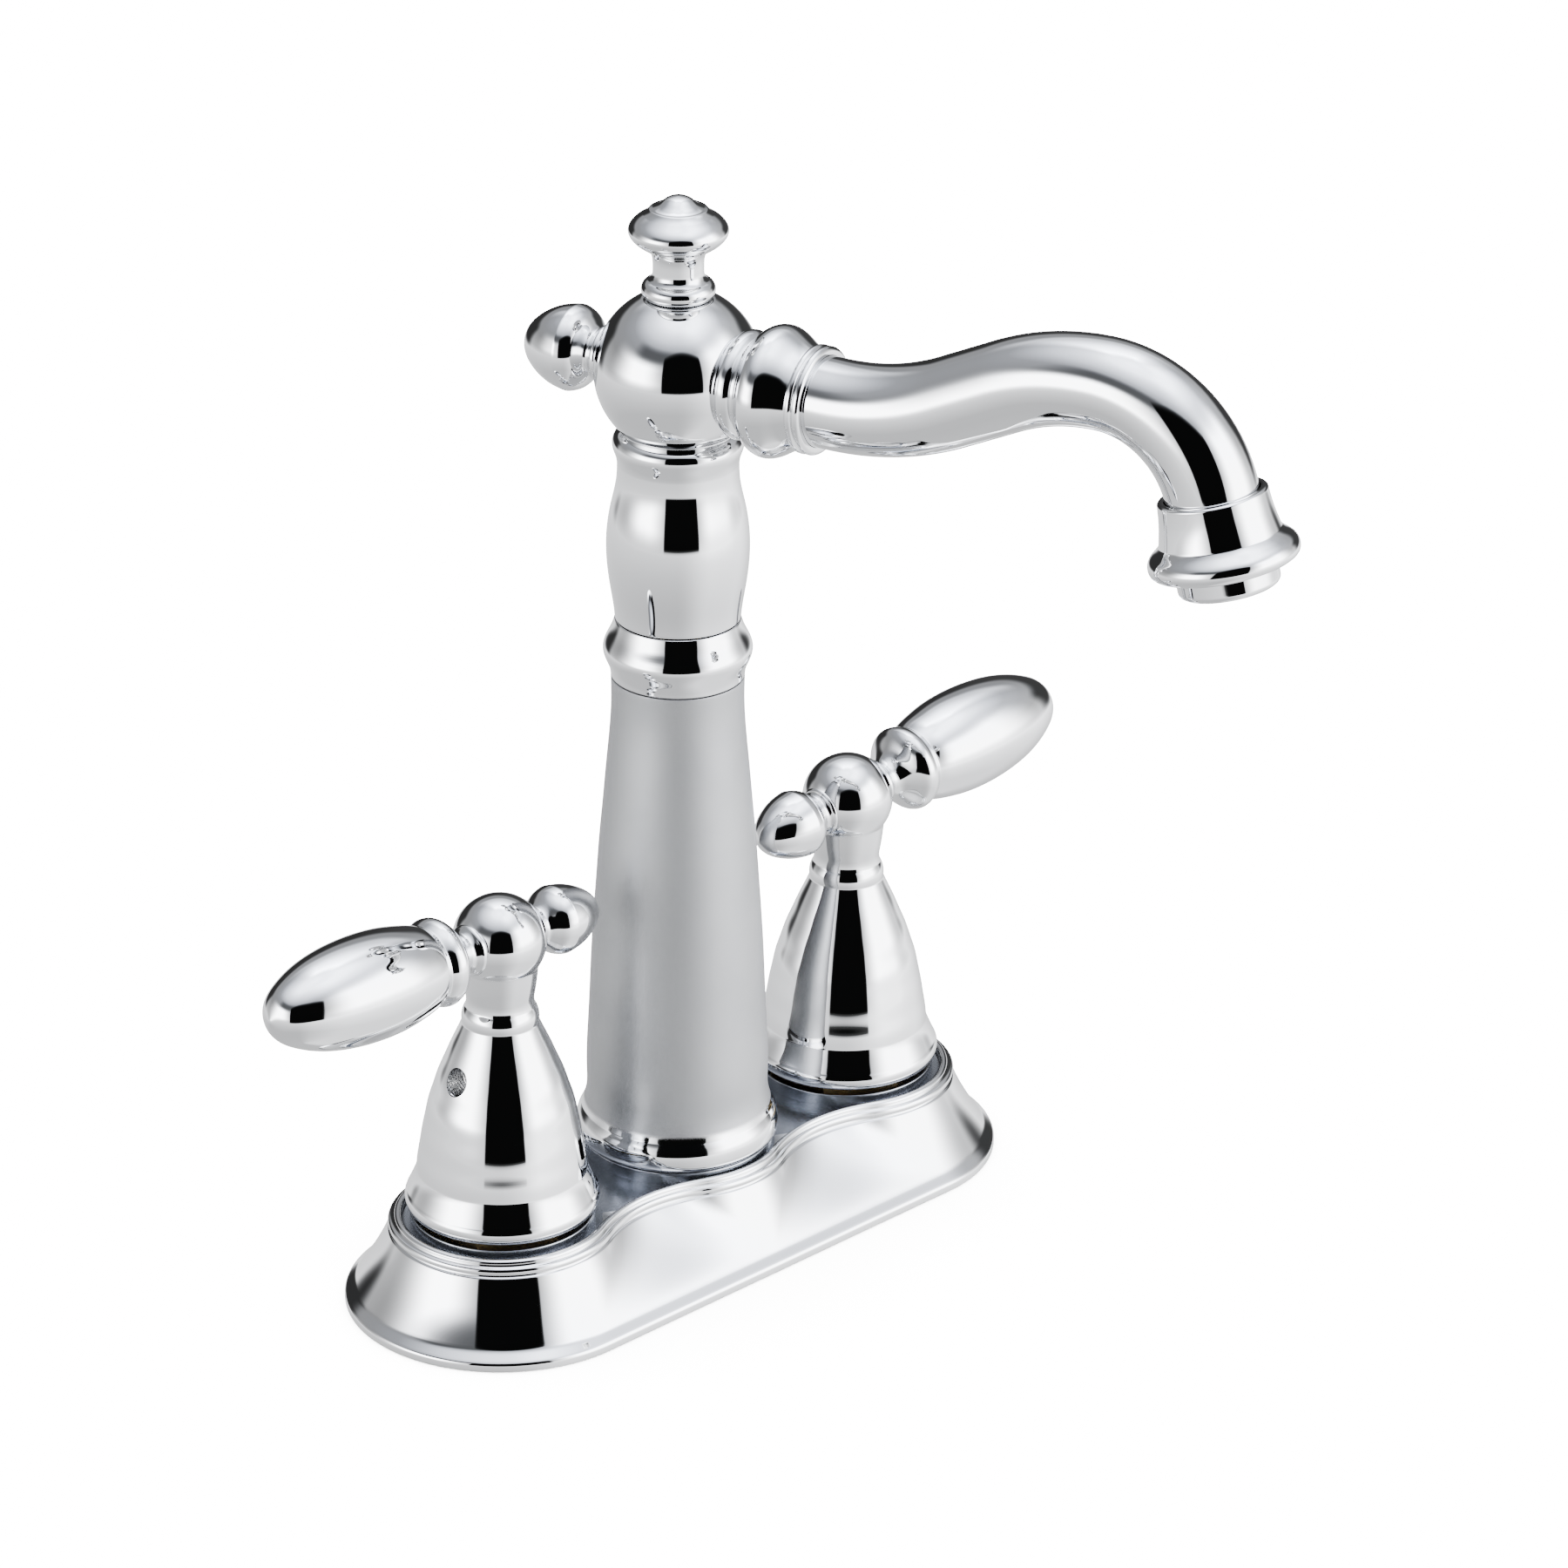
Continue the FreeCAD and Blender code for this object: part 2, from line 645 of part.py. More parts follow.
def tube_route():
    """Centre line of the tube as (place, heading) steps in the spout's own plane."""
    edges = []
    place, heading = FreeCAD.Vector(0, -tube_start, ball_height), 0.0

    def forward(angle):
        return at(0, -math.cos(angle), math.sin(angle))

    def run(length):
        nonlocal place
        end = place + forward(heading) * length
        edges.append(Part.makeLine(place, end))
        place = end

    def bend(radius, turn):
        nonlocal place, heading
        turn = math.radians(turn)
        side = 1 if turn > 0 else -1
        normal = forward(heading + math.pi / 2) * side
        centre = place + normal * radius
        through = centre - forward(heading + turn / 2 + math.pi / 2) * side * radius
        end = centre - forward(heading + turn + math.pi / 2) * side * radius
        edges.append(Part.Arc(place, through, end).toShape())
        place, heading = end, heading + turn

    run(rise_start - tube_start)
    bend(rise_bend, rise_angle)
    run(rise_straight)
    bend(crown_bend, -rise_angle)
    bend(fall_bend, -fall_angle)
    mouth = place
    run(tube_tail)
    return Part.Wire(edges), mouth, forward(heading)


def spout_tube():
    route = tube_route()[0]
    start = at(0, -tube_start, ball_height)

    def sweep(radius):
        circle = Part.Wire(Part.makeCircle(radius, start, at(0, -1, 0)))
        return route.makePipeShell([circle], True, True)

    return swung(sweep(tube_radius).cut(sweep(tube_radius - tube_wall)))


def at_outlet(solid):
    """Place an outlet piece, built upwards along the flow, just before the mouth of the tube."""
    mouth, heading = tube_route()[1:]
    return swung(aimed(solid, heading, mouth - heading * outlet_setback))


tube_stop = outlet_setback + tube_tail + face_gap
outlet_washer_bottom = tube_stop + outlet_web
screen_bottom = outlet_washer_bottom + outlet_washer_thickness
insert_bottom = screen_bottom + screen_thickness


def outlet_shell():
    """Lip round the tube, hollow neck, flare and skirt, bored for the tube and the insert."""
    lip, skirt = outlet_lip_radius, outlet_skirt_radius
    inside = tube_radius + slip
    waterway = tube_radius - tube_wall
    socket = insert_radius + slip
    section = (Outline(tube_radius + outlet_lip_gap, 0).line(lip - 0.6, 0).arc((lip - 0.15, 0.2), (lip, 0.8))
               .curve((11.5, 4.0), (12.1, 7.4), (12.4, 8.8))
               .curve((13.2, 9.8), (14.9, 11.4), (skirt, 13.0), (15.0, 14.3), (13.6, 15.0),
                      (11.9, outlet_length)))
    section.line(socket, outlet_length).line(socket, outlet_washer_bottom)
    section.line(waterway, outlet_washer_bottom).line(waterway, tube_stop)
    section.line(inside, tube_stop).line(inside, outlet_setback)
    return at_outlet(section.line(tube_radius + outlet_lip_gap, outlet_setback).turned())


def outlet_insert():
    end = outlet_length + insert_length
    corner = 1.2
    section = (Outline(insert_bore, insert_bottom).line(insert_radius, insert_bottom)
               .line(insert_radius, end - corner)
               .arc((insert_radius - 0.35, end - 0.35), (insert_radius - corner, end))
               .line(insert_bore, end))
    return at_outlet(section.turned())


def outlet_washer():
    return at_outlet(ring(insert_radius, insert_bore, outlet_washer_bottom, screen_bottom))


def outlet_screen():
    disc = ring(insert_radius, 0, screen_bottom, insert_bottom)
    turns = [2 * math.pi * step / screen_holes for step in range(screen_holes)]
    places = [at(0, 0, 0)] + [at(screen_hole_ring * math.cos(turn), screen_hole_ring * math.sin(turn), 0)
                              for turn in turns]
    hole = ring(screen_hole_radius, 0, screen_bottom - cut_margin, insert_bottom + cut_margin)
    return at_outlet(disc.cut([moved(hole, place.x, place.y) for place in places]))


# Handles, built on the origin axis with the lever towards -X, then placed

def lever_heading(rise):
    rise = math.radians(rise)
    return at(-math.cos(rise), 0, math.sin(rise))


def handle_hub(rise):
    """Bell, neck ring and ball in one casting, with sockets for the stem, lever, finial and screw."""
    drawn = (-61.5, 0)

    def below(*points):
        return spread(points, drawn, rim_height, hub_ball_height)

    top = hub_ball_height
    outside = (Outline(rim_inside, rim_height).line(rim_radius - 0.8, rim_height)
               .arc(*below((rim_radius, -59.9), (rim_radius - 0.5, -57.8)))
               .curve(*below((19.3, -56.0), (18.4, -53.8), (18.1, -52.8)))
               .curve(*below((17.85, -50.4), (17.35, -47.4), (16.8, -44.0), (16.1, -40.5), (15.4, -37.2),
                             (14.45, -34.2), (13.4, -30.9), (12.05, -27.6), (10.65, -24.2), (9.1, -20.8),
                             (8.1, -18.5)))
               .arc(*below((8.1, -16.6), (7.35, -14.8)))
               .curve(*below((7.15, -13.4), (7.35, -11.8), (8.0, -9.4), (9.0, -6.4)))
               .curve(*below((9.75, -3.2), (hub_ball_radius, 0)), (9.1, top + 4.6), (7.1, top + 7.4),
                      (3.9, top + 9.5), (0, top + 10.3)))
    bore = stem_radius + slip
    solid = outside.line(0, stem_top).line(bore, stem_top).line(bore, bell_ceiling)
    hollow = below((16.8 - bell_wall, -44.0), (17.85 - bell_wall, -50.4), (rim_inside, -59.0))
    solid.line(15.5 - bell_wall, bell_ceiling).curve(*hollow)
    hub = solid.turned()
    centre = at(0, 0, hub_ball_height)
    outward = ring(hub_ball_radius, 0, hub_flat, hub_flat + 5)
    tapped = ring(screw_radius + slip, 0, hub_flat - screw_length - 1, hub_flat + 5)
    screw_way = ring(set_screw_radius, 0, 0, rim_radius)
    heading = lever_heading(rise)
    cuts = [aimed(solid, way, centre) for solid in (outward, tapped) for way in (heading, -heading)]
    cuts.append(aimed(screw_way, at(-1, 0, 0), at(0, 0, set_screw_height)))
    return hub.cut(cuts)


def lever(rise):
    """Foot ring, neck, flared collar and a teardrop grip."""
    grip_start = hub_flat + 12.8

    def from_hub(*points):
        return spread(points, (0, 12.8), hub_flat, grip_start)

    def on_grip(*points):
        return spread(points, (0, 41.8), grip_start, lever_length)

    solid = (Outline(0, hub_flat - screw_length).line(screw_radius, hub_flat - screw_length)
             .line(screw_radius, hub_flat).line(4.9, hub_flat).arc(*from_hub((5.5, 0.9), (4.9, 1.8)))
             .curve(*from_hub((4.2, 2.6), (4.4, 4.2), (6.5, 6.4), (8.9, 8.4), (lever_collar_radius, 9.6),
                              (9.1, 11.6), (8.4, 12.8)))
             .curve(*on_grip((9.1, 1.6), (10.1, 5.2), (10.9, 9.6), (lever_widest_radius, 16.1), (10.9, 23.1),
                             (9.6, 29.9), (7.3, 35.9), (4.3, 40.0), (0, 41.8))).turned())
    return aimed(solid, lever_heading(rise), at(0, 0, hub_ball_height))


def lever_finial(rise):
    finial = acorn(hub_flat, 4.2, handle_finial_radius, handle_finial_length)
    return aimed(finial, -lever_heading(rise), at(0, 0, hub_ball_height))


def set_screw():
    screw = ring(set_screw_radius - slip, 0, stem_radius + slip, stem_radius + set_screw_length)
    key = hex_prism(set_screw_key, stem_radius + set_screw_length - 2, stem_radius + set_screw_length + 1)
    return aimed(screw.cut(key), at(-1, 0, 0), at(0, 0, set_screw_height))


def hot_side(solid):
    return moved(solid, -half_spacing)


def cold_side(solid):
    copy = solid.copy()
    copy.rotate(at(0, 0, 0), up, 180)
    return moved(copy, half_spacing)


def both_sides(make):
    piece = make()
    return Part.makeCompound([hot_side(piece), cold_side(piece)])


nodes = {
    "deck_plate": deck_plate(),
    "base_gasket": base_gasket(),
    "valve_body": valve_body(),
    "mounting_nuts": both_sides(mounting_nut),
    "mounting_washers": both_sides(mounting_washer),
    "deck_nuts": both_sides(deck_nut),
    "riser_post": riser_post(),
    "spout_seals": spout_seals(),
    "retaining_ring": retaining_ring(),
    "swivel_washer": swivel_washer(),
    "column_shell": column_shell(),
    "coupling_ring": coupling_ring(),
    "spout_hub": spout_hub(),
    "top_finial": top_finial(),
    "rear_finial": rear_finial(),
    "spout_collar": spout_collar(),
    "spout_tube": spout_tube(),
    "outlet_shell": outlet_shell(),
    "outlet_insert": outlet_insert(),
    "outlet_washer": outlet_washer(),
    "outlet_screen": outlet_screen(),
}

for make in (bonnet_nut, cartridge, rubber_seat, seat_spring, stem, set_screw):
    piece = make()
    nodes["hot_" + make.__name__] = hot_side(piece)
    nodes["cold_" + make.__name__] = cold_side(piece)

for make in (handle_hub, lever, lever_finial):
    nodes["hot_" + make.__name__] = hot_side(make(hot_lever_rise))
    nodes["cold_" + make.__name__] = cold_side(make(cold_lever_rise))

os.makedirs("parts", exist_ok=True)
for name, shape in nodes.items():
    shape.exportStep("parts/" + name + ".step")
    print(name, len(shape.Solids), round(shape.Volume, 1), shape.isValid())
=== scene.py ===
import bpy
import json
import math
import numpy as np
from mathutils import Matrix, Vector


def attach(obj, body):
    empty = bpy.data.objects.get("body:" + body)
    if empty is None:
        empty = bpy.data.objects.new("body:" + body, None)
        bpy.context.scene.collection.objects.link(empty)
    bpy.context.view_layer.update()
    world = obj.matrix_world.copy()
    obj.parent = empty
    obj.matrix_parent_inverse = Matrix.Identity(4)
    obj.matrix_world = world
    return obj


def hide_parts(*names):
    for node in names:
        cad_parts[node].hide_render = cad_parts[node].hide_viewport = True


# Two-handle bar faucet in polished chrome. Sizes are in millimetres, the scene is in metres.
# The column stands on the origin, +X is the cold handle, -Y faces the user.
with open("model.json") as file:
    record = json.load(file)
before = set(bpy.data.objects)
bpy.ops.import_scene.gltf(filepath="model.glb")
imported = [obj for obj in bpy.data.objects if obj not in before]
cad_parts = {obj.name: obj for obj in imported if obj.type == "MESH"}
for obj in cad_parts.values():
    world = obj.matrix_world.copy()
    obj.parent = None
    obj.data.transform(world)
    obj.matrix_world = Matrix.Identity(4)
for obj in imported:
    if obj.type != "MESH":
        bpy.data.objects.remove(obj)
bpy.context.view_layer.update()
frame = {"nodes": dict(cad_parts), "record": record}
mm = 0.001
half = 101.6 / 2  # half the spacing of the handles


# Shapes: profiles, turned skins and swept skins

def lengthsAlong(points):
    # how far along the line each of its points lies
    return np.r_[0, np.cumsum(np.linalg.norm(np.diff(points, axis=0), axis=1))]


def anglesOf(steps):
    return np.arange(steps) * 2 * math.pi / steps


def throughPoints(points, step):
    # natural cubic through the points, measured along their chords, then read at even steps
    p = np.asarray(points, float)
    t = lengthsAlong(p)
    count = max(2, int(math.ceil(t[-1] / step)) + 1)
    s = np.linspace(0, t[-1], count)
    if len(p) == 2:
        return p[0] + (p[1] - p[0]) * (s / t[-1])[:, None]
    h = np.diff(t)
    a = np.eye(len(p))
    i = np.arange(1, len(p) - 1)
    a[i, i - 1], a[i, i], a[i, i + 1] = h[:-1], 2 * (h[:-1] + h[1:]), h[1:]
    b = np.zeros_like(p)
    b[1:-1] = 6 * np.diff(np.diff(p, axis=0) / h[:, None], axis=0)
    m = np.linalg.solve(a, b)
    k = np.clip(np.searchsorted(t, s, side="right") - 1, 0, len(p) - 2)
    w = ((s - t[k]) / h[k])[:, None]
    bend = ((1 - w) ** 3 - (1 - w)) * m[k] + (w ** 3 - w) * m[k + 1]
    return (1 - w) * p[k] + w * p[k + 1] + bend * (h[k] ** 2)[:, None] / 6


def straightRuns(*points):
    # one straight run from each point to the next
    return [list(pair) for pair in zip(points, points[1:])]


def profileOf(runs, step, corner):
    # each run is a smooth curve; where two runs meet, the corner is rounded by a short parabola
    longestCut, tiny, cornerPoints = 0.45, 1e-6, 6
    lines = [throughPoints(run, step) for run in runs]
    parts = []
    for n, line in enumerate(lines):
        s = lengthsAlong(line)
        cut = min(corner, s[-1] * longestCut)
        first = cut if n > 0 else 0.0
        last = s[-1] - (cut if n < len(lines) - 1 else 0.0)
        inner = s[(s > first + tiny) & (s < last - tiny)]
        at = np.r_[first, inner, last]
        parts.append(np.c_[np.interp(at, s, line[:, 0]), np.interp(at, s, line[:, 1])])
    out = [parts[0]]
    for n in range(1, len(parts)):
        a, b, c = parts[n - 1][-1], lines[n][0], parts[n][0]
        w = np.linspace(0, 1, cornerPoints)[1:-1, None]
        out += [(1 - w) ** 2 * a + 2 * w * (1 - w) * b + w ** 2 * c, parts[n]]
    return np.concatenate(out)


def arcThrough(start, middle, end, count=12):
    # circle through three points of a half section, read evenly from start to end
    a, b, c = (complex(*q) for q in (start, middle, end))
    w = (c - a) / (b - a)
    centre = (b - a) * (w - abs(w) ** 2) / (2j * w.imag) + a
    turn = np.angle((c - centre) / (a - centre))
    toMiddle = np.angle((b - centre) / (a - centre))
    if toMiddle * turn < 0 or abs(toMiddle) > abs(turn):
        turn -= math.copysign(2 * math.pi, turn)
    q = centre + (a - centre) * np.exp(1j * turn * np.linspace(0, 1, count))
    return [(float(z.real), float(z.imag)) for z in q]


def ballRun(radius, height, low, high, count):
    # the side of a ball on the axis, from one angle above its middle to another
    return [(radius * math.cos(t), height + radius * math.sin(t)) for t in np.linspace(low, high, count)]


def meshFrom(name, verts, quads, tris):
    # points in millimetres, then the faces of four and of three corners
    mesh = bpy.data.meshes.new(name)
    mesh.vertices.add(len(verts))
    mesh.vertices.foreach_set("co", (verts * mm).astype(np.float32).ravel())
    mesh.loops.add(quads.size + tris.size)
    mesh.loops.foreach_set("vertex_index", np.r_[quads.ravel(), tris.ravel()].astype(np.int32))
    mesh.polygons.add(len(quads) + len(tris))
    starts = np.r_[np.arange(len(quads)) * 4, quads.size + np.arange(len(tris)) * 3]
    mesh.polygons.foreach_set("loop_start", starts.astype(np.int32))
    mesh.polygons.foreach_set("use_smooth", np.ones(len(starts), bool))
    mesh.update(calc_edges=True)
    mesh.validate()
    obj = bpy.data.objects.new(name, mesh)
    bpy.context.scene.collection.objects.link(obj)
    return obj


def skinOf(rows, ring=False):
    # rows (n, m, 3): each row is a closed loop of m points; a row with no width becomes one pole
    n, m = rows.shape[:2]
    noWidth = 1e-4
    wide = np.ptp(rows, axis=1).max(1) > noWidth
    start = np.r_[0, np.cumsum(np.where(wide, m, 1))]
    index = start[:-1, None] + np.where(wide[:, None], np.arange(m)[None], 0)
    verts = np.concatenate([row if w else row[:1] for row, w in zip(rows, wide)])
    low = np.arange(n if ring else n - 1)
    high = (low + 1) % n
    side = (np.arange(m) + 1) % m
    a, b, c, d = index[low], index[low][:, side], index[high][:, side], index[high]
    both = wide[low] & wide[high]
    quads = np.stack([a, b, c, d], -1)[both].reshape(-1, 4)
    opening = ~wide[low] & wide[high]
    closing = wide[low] & ~wide[high]
    tris = np.concatenate([np.stack([a, c, d], -1)[opening].reshape(-1, 3),
                           np.stack([a, b, c], -1)[closing].reshape(-1, 3)])
    return verts, quads, tris


def joined(*skins):
    verts, quads, tris, shift = [], [], [], 0
    for v, q, t in skins:
        verts.append(v)
        quads.append(q + shift)
        tris.append(t + shift)
        shift += len(v)
    return np.concatenate(verts), np.concatenate(quads), np.concatenate(tris)


def turnedSkin(profile, steps, ring=False):
    # profile (radius, height) carried round +Z: (r cos t, r sin t, h)
    t = anglesOf(steps)
    r, h = profile[:, :1], profile[:, 1:]
    return skinOf(np.stack([r * np.cos(t), r * np.sin(t), h + 0 * t], -1), ring)


def turnedFrom(runs, step, corner, steps):
    return turnedSkin(profileOf(runs, step, corner), steps)


def ringFrom(runs, step, corner, steps):
    # the runs close on themselves, so their last point is their first and is left out
    return turnedSkin(profileOf(runs, step, corner)[:-1], steps, ring=True)


def aimedSkin(skin, direction, origin):
    # turn a skin made along +Z to point along direction, then set it on origin
    turn = np.array(Vector((0, 0, 1)).rotation_difference(Vector(direction)).to_matrix())
    return (skin[0] @ turn.T + np.asarray(origin, float), *skin[1:])


def turnedAbout(skin, degrees=0, shift=(0, 0, 0)):
    # turn a skin about +Z, then move it
    turn = np.array(Matrix.Rotation(math.radians(degrees), 3, "Z"))
    return (skin[0] @ turn.T + np.asarray(shift, float), *skin[1:])


def finishedPiece(name, skin, material, body, slotName, *replaced):
    obj = meshFrom(name, *skin)
    obj.data.materials.append(material)
    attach(obj, body)
    if replaced:
        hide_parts(*replaced)


# Materials

class Socket:
    # wraps a node socket so that maths on it reads as maths
    def __init__(self, material, socket):
        self.material, self.socket = material, socket

    def maths(self, operation, first, second):
        return self.material.add("ShaderNodeMath", {"operation": operation}, {0: first, 1: second})

    def __add__(self, other):
        return self.maths("ADD", self, other)

    def __radd__(self, other):
        return self.maths("ADD", other, self)

    def __sub__(self, other):
        return self.maths("SUBTRACT", self, other)

    def __rsub__(self, other):
        return self.maths("SUBTRACT", other, self)

    def __mul__(self, other):
        return self.maths("MULTIPLY", self, other)

    def __rmul__(self, other):
        return self.maths("MULTIPLY", other, self)

    def above(self, low, high):
        # 0 below low, 1 over high, smooth between them
        return self.material.add("ShaderNodeMapRange", {"interpolation_type": "SMOOTHSTEP"},
                                 {0: self, 1: low, 2: high, 3: 0.0, 4: 1.0})


class Finish:
    # one procedural material on Object coordinates
    def __init__(self, name):
        self.made = bpy.data.materials.new(name)
        self.made.use_nodes = True
        self.tree = self.made.node_tree
        self.shader = self.tree.nodes["Principled BSDF"]
        self.place = self.add("ShaderNodeTexCoord", output="Object")

    def add(self, kind, settings=None, inputs=None, output=0):
        node = self.tree.nodes.new(kind)
        for key, value in (settings or {}).items():
            setattr(node, key, value)
        for key, value in (inputs or {}).items():
            if isinstance(value, Socket):
                self.tree.links.new(value.socket, node.inputs[key])
            else:
                node.inputs[key].default_value = value
        return Socket(self, node.outputs[output])

    def scaled(self, stretch):
        return self.add("ShaderNodeMapping", inputs={"Vector": self.place, "Scale": stretch})

    def noise(self, scale, detail, stretch=None):
        place = self.scaled(stretch) if stretch else self.place
        return self.add("ShaderNodeTexNoise", inputs={"Vector": place, "Scale": scale, "Detail": detail})

    def height(self):
        return self.add("ShaderNodeSeparateXYZ", inputs={"Vector": self.place}, output=2)

    def within(self, x, radius, soft):
        # 1 inside the upright round column of that radius about x, 0 outside it
        away = self.add("ShaderNodeVectorMath", {"operation": "DISTANCE"},
                        {0: self.scaled((1, 1, 0)), 1: (x * mm, 0, 0)}, output=1)
        return 1.0 - away.above((radius - soft) * mm, radius * mm)

    def mixed(self, factor, first, second):
        # each colour is a socket or three numbers
        first, second = (tone if isinstance(tone, Socket) else (*tone, 1) for tone in (first, second))
        return self.add("ShaderNodeMix", {"data_type": "RGBA"}, {0: factor, 6: first, 7: second}, output=2)

    def bump(self, height, strength, distance):
        return self.add("ShaderNodeBump",
                        inputs={"Height": height, "Strength": strength, "Distance": distance})

    def put(self, **values):
        for key, value in values.items():
            socket = self.shader.inputs[key.replace("_", " ")]
            if isinstance(value, Socket):
                self.tree.links.new(value.socket, socket)
            else:
                socket.default_value = value
        return self.made


# the recess tone is painted shade: a dark grey that the deck plate's recessed top gets instead of chrome
tones = {"chrome": (0.70, 0.705, 0.715), "smudged": (0.675, 0.682, 0.695), "recess": (0.30, 0.315, 0.345),
         "satin": (0.348, 0.352, 0.360), "satinHaze": (0.326, 0.331, 0.340),
         "brass": (0.62, 0.47, 0.24), "agedBrass": (0.50, 0.37, 0.18),
         "steel": (0.62, 0.62, 0.61), "drawnSteel": (0.55, 0.55, 0.545),
         "rubber": (0.02, 0.02, 0.02), "dustyRubber": (0.045, 0.044, 0.042),
         "nylon": (0.80, 0.79, 0.74), "agedNylon": (0.74, 0.73, 0.68)}


def mirrorOf(f, clean):
    # colour, roughness and faint waves of mirror chrome with a thin haze and a few smudges
    haze = f.noise(70, 3).above(0.45, 0.75)
    smudge = f.noise(24, 2).above(0.5, 0.8)
    rough = clean + 0.012 * haze + 0.014 * smudge
    return f.mixed(smudge, tones["chrome"], tones["smudged"]), rough, f.bump(f.noise(45, 1), 0.02, 0.0003)


def polishedChrome():
    f = Finish("polishedChrome")
    colour, rough, wave = mirrorOf(f, 0.016)
    return f.put(Base_Color=colour, Metallic=1.0, Roughness=rough, Normal=wave)


def deckChrome():
    # the recess between the beads and its round seats is left duller than the rest, and its colour is painted
    # darker as shade
    f = Finish("deckChrome")
    bright, rough, wave = mirrorOf(f, 0.02)
    # each lobe is (x, radius, soft edge), and the dullness and the painted shade start above the top of the
    # wall
    lobes = [(x, 21.5, 0.6) for x in (-half, 0, half)] + [(x, 15.8, 1.0) for x in (-half / 2, half / 2)]
    dullAndShaded = sum(f.within(x, radius, soft) for x, radius, soft in lobes).above(0.2, 0.8)
    dullAndShaded = dullAndShaded * f.height().above(17.2 * mm, 17.6 * mm)
    # painted shade: the recessed top is mixed to the much darker recess tone, and it is also made rougher
    return f.put(Base_Color=f.mixed(dullAndShaded, bright, tones["recess"]), Metallic=1.0,
                 Roughness=rough + 0.22 * dullAndShaded, Normal=wave)


def satinChrome():
    # polished up to the foot ring's top edge, satin above it
    f = Finish("satinChrome")
    satin = f.height().above(28.6 * mm, 30.0 * mm)
    haze = f.noise(60, 3).above(0.4, 0.8)
    rough = 0.045 + satin * (0.47 + 0.04 * haze)
    colour = f.mixed(satin, tones["chrome"], f.mixed(haze, tones["satin"], tones["satinHaze"]))
    grain = f.bump(f.noise(900, 2, (1, 1, 0.12)), 0.012, 0.0002)
    return f.put(Base_Color=colour, Metallic=1.0, Roughness=rough, Normal=grain)


def castBrass():
    f = Finish("castBrass")
    patch = f.noise(45, 4).above(0.35, 0.7)
    return f.put(Base_Color=f.mixed(patch, tones["brass"], tones["agedBrass"]), Metallic=1.0,
                 Roughness=0.28 + 0.14 * patch, Normal=f.bump(f.noise(420, 3), 0.2, 0.0002))


def stainlessSteel():
    f = Finish("stainlessSteel")
    streak = f.noise(500, 2, (1, 1, 0.1)).above(0.3, 0.7)
    return f.put(Base_Color=f.mixed(streak, tones["steel"], tones["drawnSteel"]), Metallic=1.0,
                 Roughness=0.25 + 0.12 * streak)


def blackRubber():
    f = Finish("blackRubber")
    dust = f.noise(160, 4).above(0.5, 0.85)
    return f.put(Base_Color=f.mixed(dust, tones["rubber"], tones["dustyRubber"]),
                 Roughness=0.62 + 0.15 * dust, Normal=f.bump(f.noise(700, 3), 0.25, 0.0001))


def paleNylon():
    f = Finish("paleNylon")
    patch = f.noise(90, 3).above(0.4, 0.7)
    return f.put(Base_Color=f.mixed(patch, tones["nylon"], tones["agedNylon"]),
                 Roughness=0.45 + 0.1 * patch)


chrome = polishedChrome()
plateChrome = deckChrome()
satin = satinChrome()
brass = castBrass()
steel = stainlessSteel()
rubber = blackRubber()
nylon = paleNylon()
print("materials made")


# Deck plate

# ledge and top are (radius, height); a bead is (radius of its path, height, its own radius);
# a waist is how far the hollow between two lobes stays from the X axis, as a share of the lobe's radius;
# perArc holds the points on a hollow, on the middle lobe and on an end lobe
deck = {"foot": 33.75, "footFace": 0.5, "edgeTop": 1.8, "ledge": (31.5, 3.7), "top": (24.2, 17.2),
        "hollow": 0.5, "corner": 0.55, "edgeWaist": 0.999, "topWaist": 0.74, "lowerBead": (23.2, 18.3, 1.15),
        "upperBead": (22.15, 19.6, 0.85), "floor": 18.2, "wall": 2.0, "seatFoot": 17.8, "seatTop": 21.0,
        "seats": ((-half, 19.6), (0.0, 20.6), (half, 19.6)), "perArc": (30, 26, 74)}


def lobedRow(radius, waist, height):
    # three equal lobes on the three axes joined by hollow arcs that touch them
    middle, depth = half / 2, radius * waist
    hollow = (middle ** 2 + depth ** 2 - radius ** 2) / (2 * (radius - depth))
    angle = math.atan2(depth + hollow, middle)
    quarter = math.pi / 2
    reach = quarter - angle
    inHollow, inMiddle, inEnd = deck["perArc"]

    def arc(centre, size, start, turn, count):
        t = start + turn * np.arange(count) / count
        return np.c_[centre[0] + size * np.cos(t), centre[1] + size * np.sin(t)]

    parts = []
    for side in (-1, 1):
        start, across = side * quarter - reach, side * (depth + hollow)
        parts += [arc((side * middle, across), hollow, reach - side * quarter, -2 * reach, inHollow),
                  arc((0, 0), radius, start, 2 * reach, inMiddle),
                  arc((-side * middle, across), hollow, reach - side * quarter, -2 * reach, inHollow),
                  arc((-side * half, 0), radius, start, 2 * math.pi - 2 * angle, inEnd)]
    xy = np.concatenate(parts)
    return np.c_[xy, np.full(len(xy), height)]


def beadRows(path, height, size, low, high, count, side=1):
    # part of a round bead, from one angle above its middle to another
    return [lobedRow(path + side * size * math.cos(t), deck["topWaist"], height + size * math.sin(t))
            for t in np.linspace(low, high, count)]


def waistAt(height):
    # the lobes part slowly at first: waist falls with the share of the rise to the power 1.4
    low, high = deck["ledge"][1], deck["top"][1]
    rise = min(max((height - low) / (high - low), 0), 1)
    return deck["edgeWaist"] + (deck["topWaist"] - deck["edgeWaist"]) * rise ** 1.4


def wallLine(inset, low, high, count=9):
    # the skirt's wall leans in from the ledge to the top and is slightly hollow between them
    (r0, z0), (r1, z1) = deck["ledge"], deck["top"]
    z = np.linspace(low, high, count)
    t = np.clip((z - z0) / (z1 - z0), 0, 1)
    return list(zip(r0 + (r1 - r0) * t - deck["hollow"] * np.sin(math.pi * t) - inset, z))


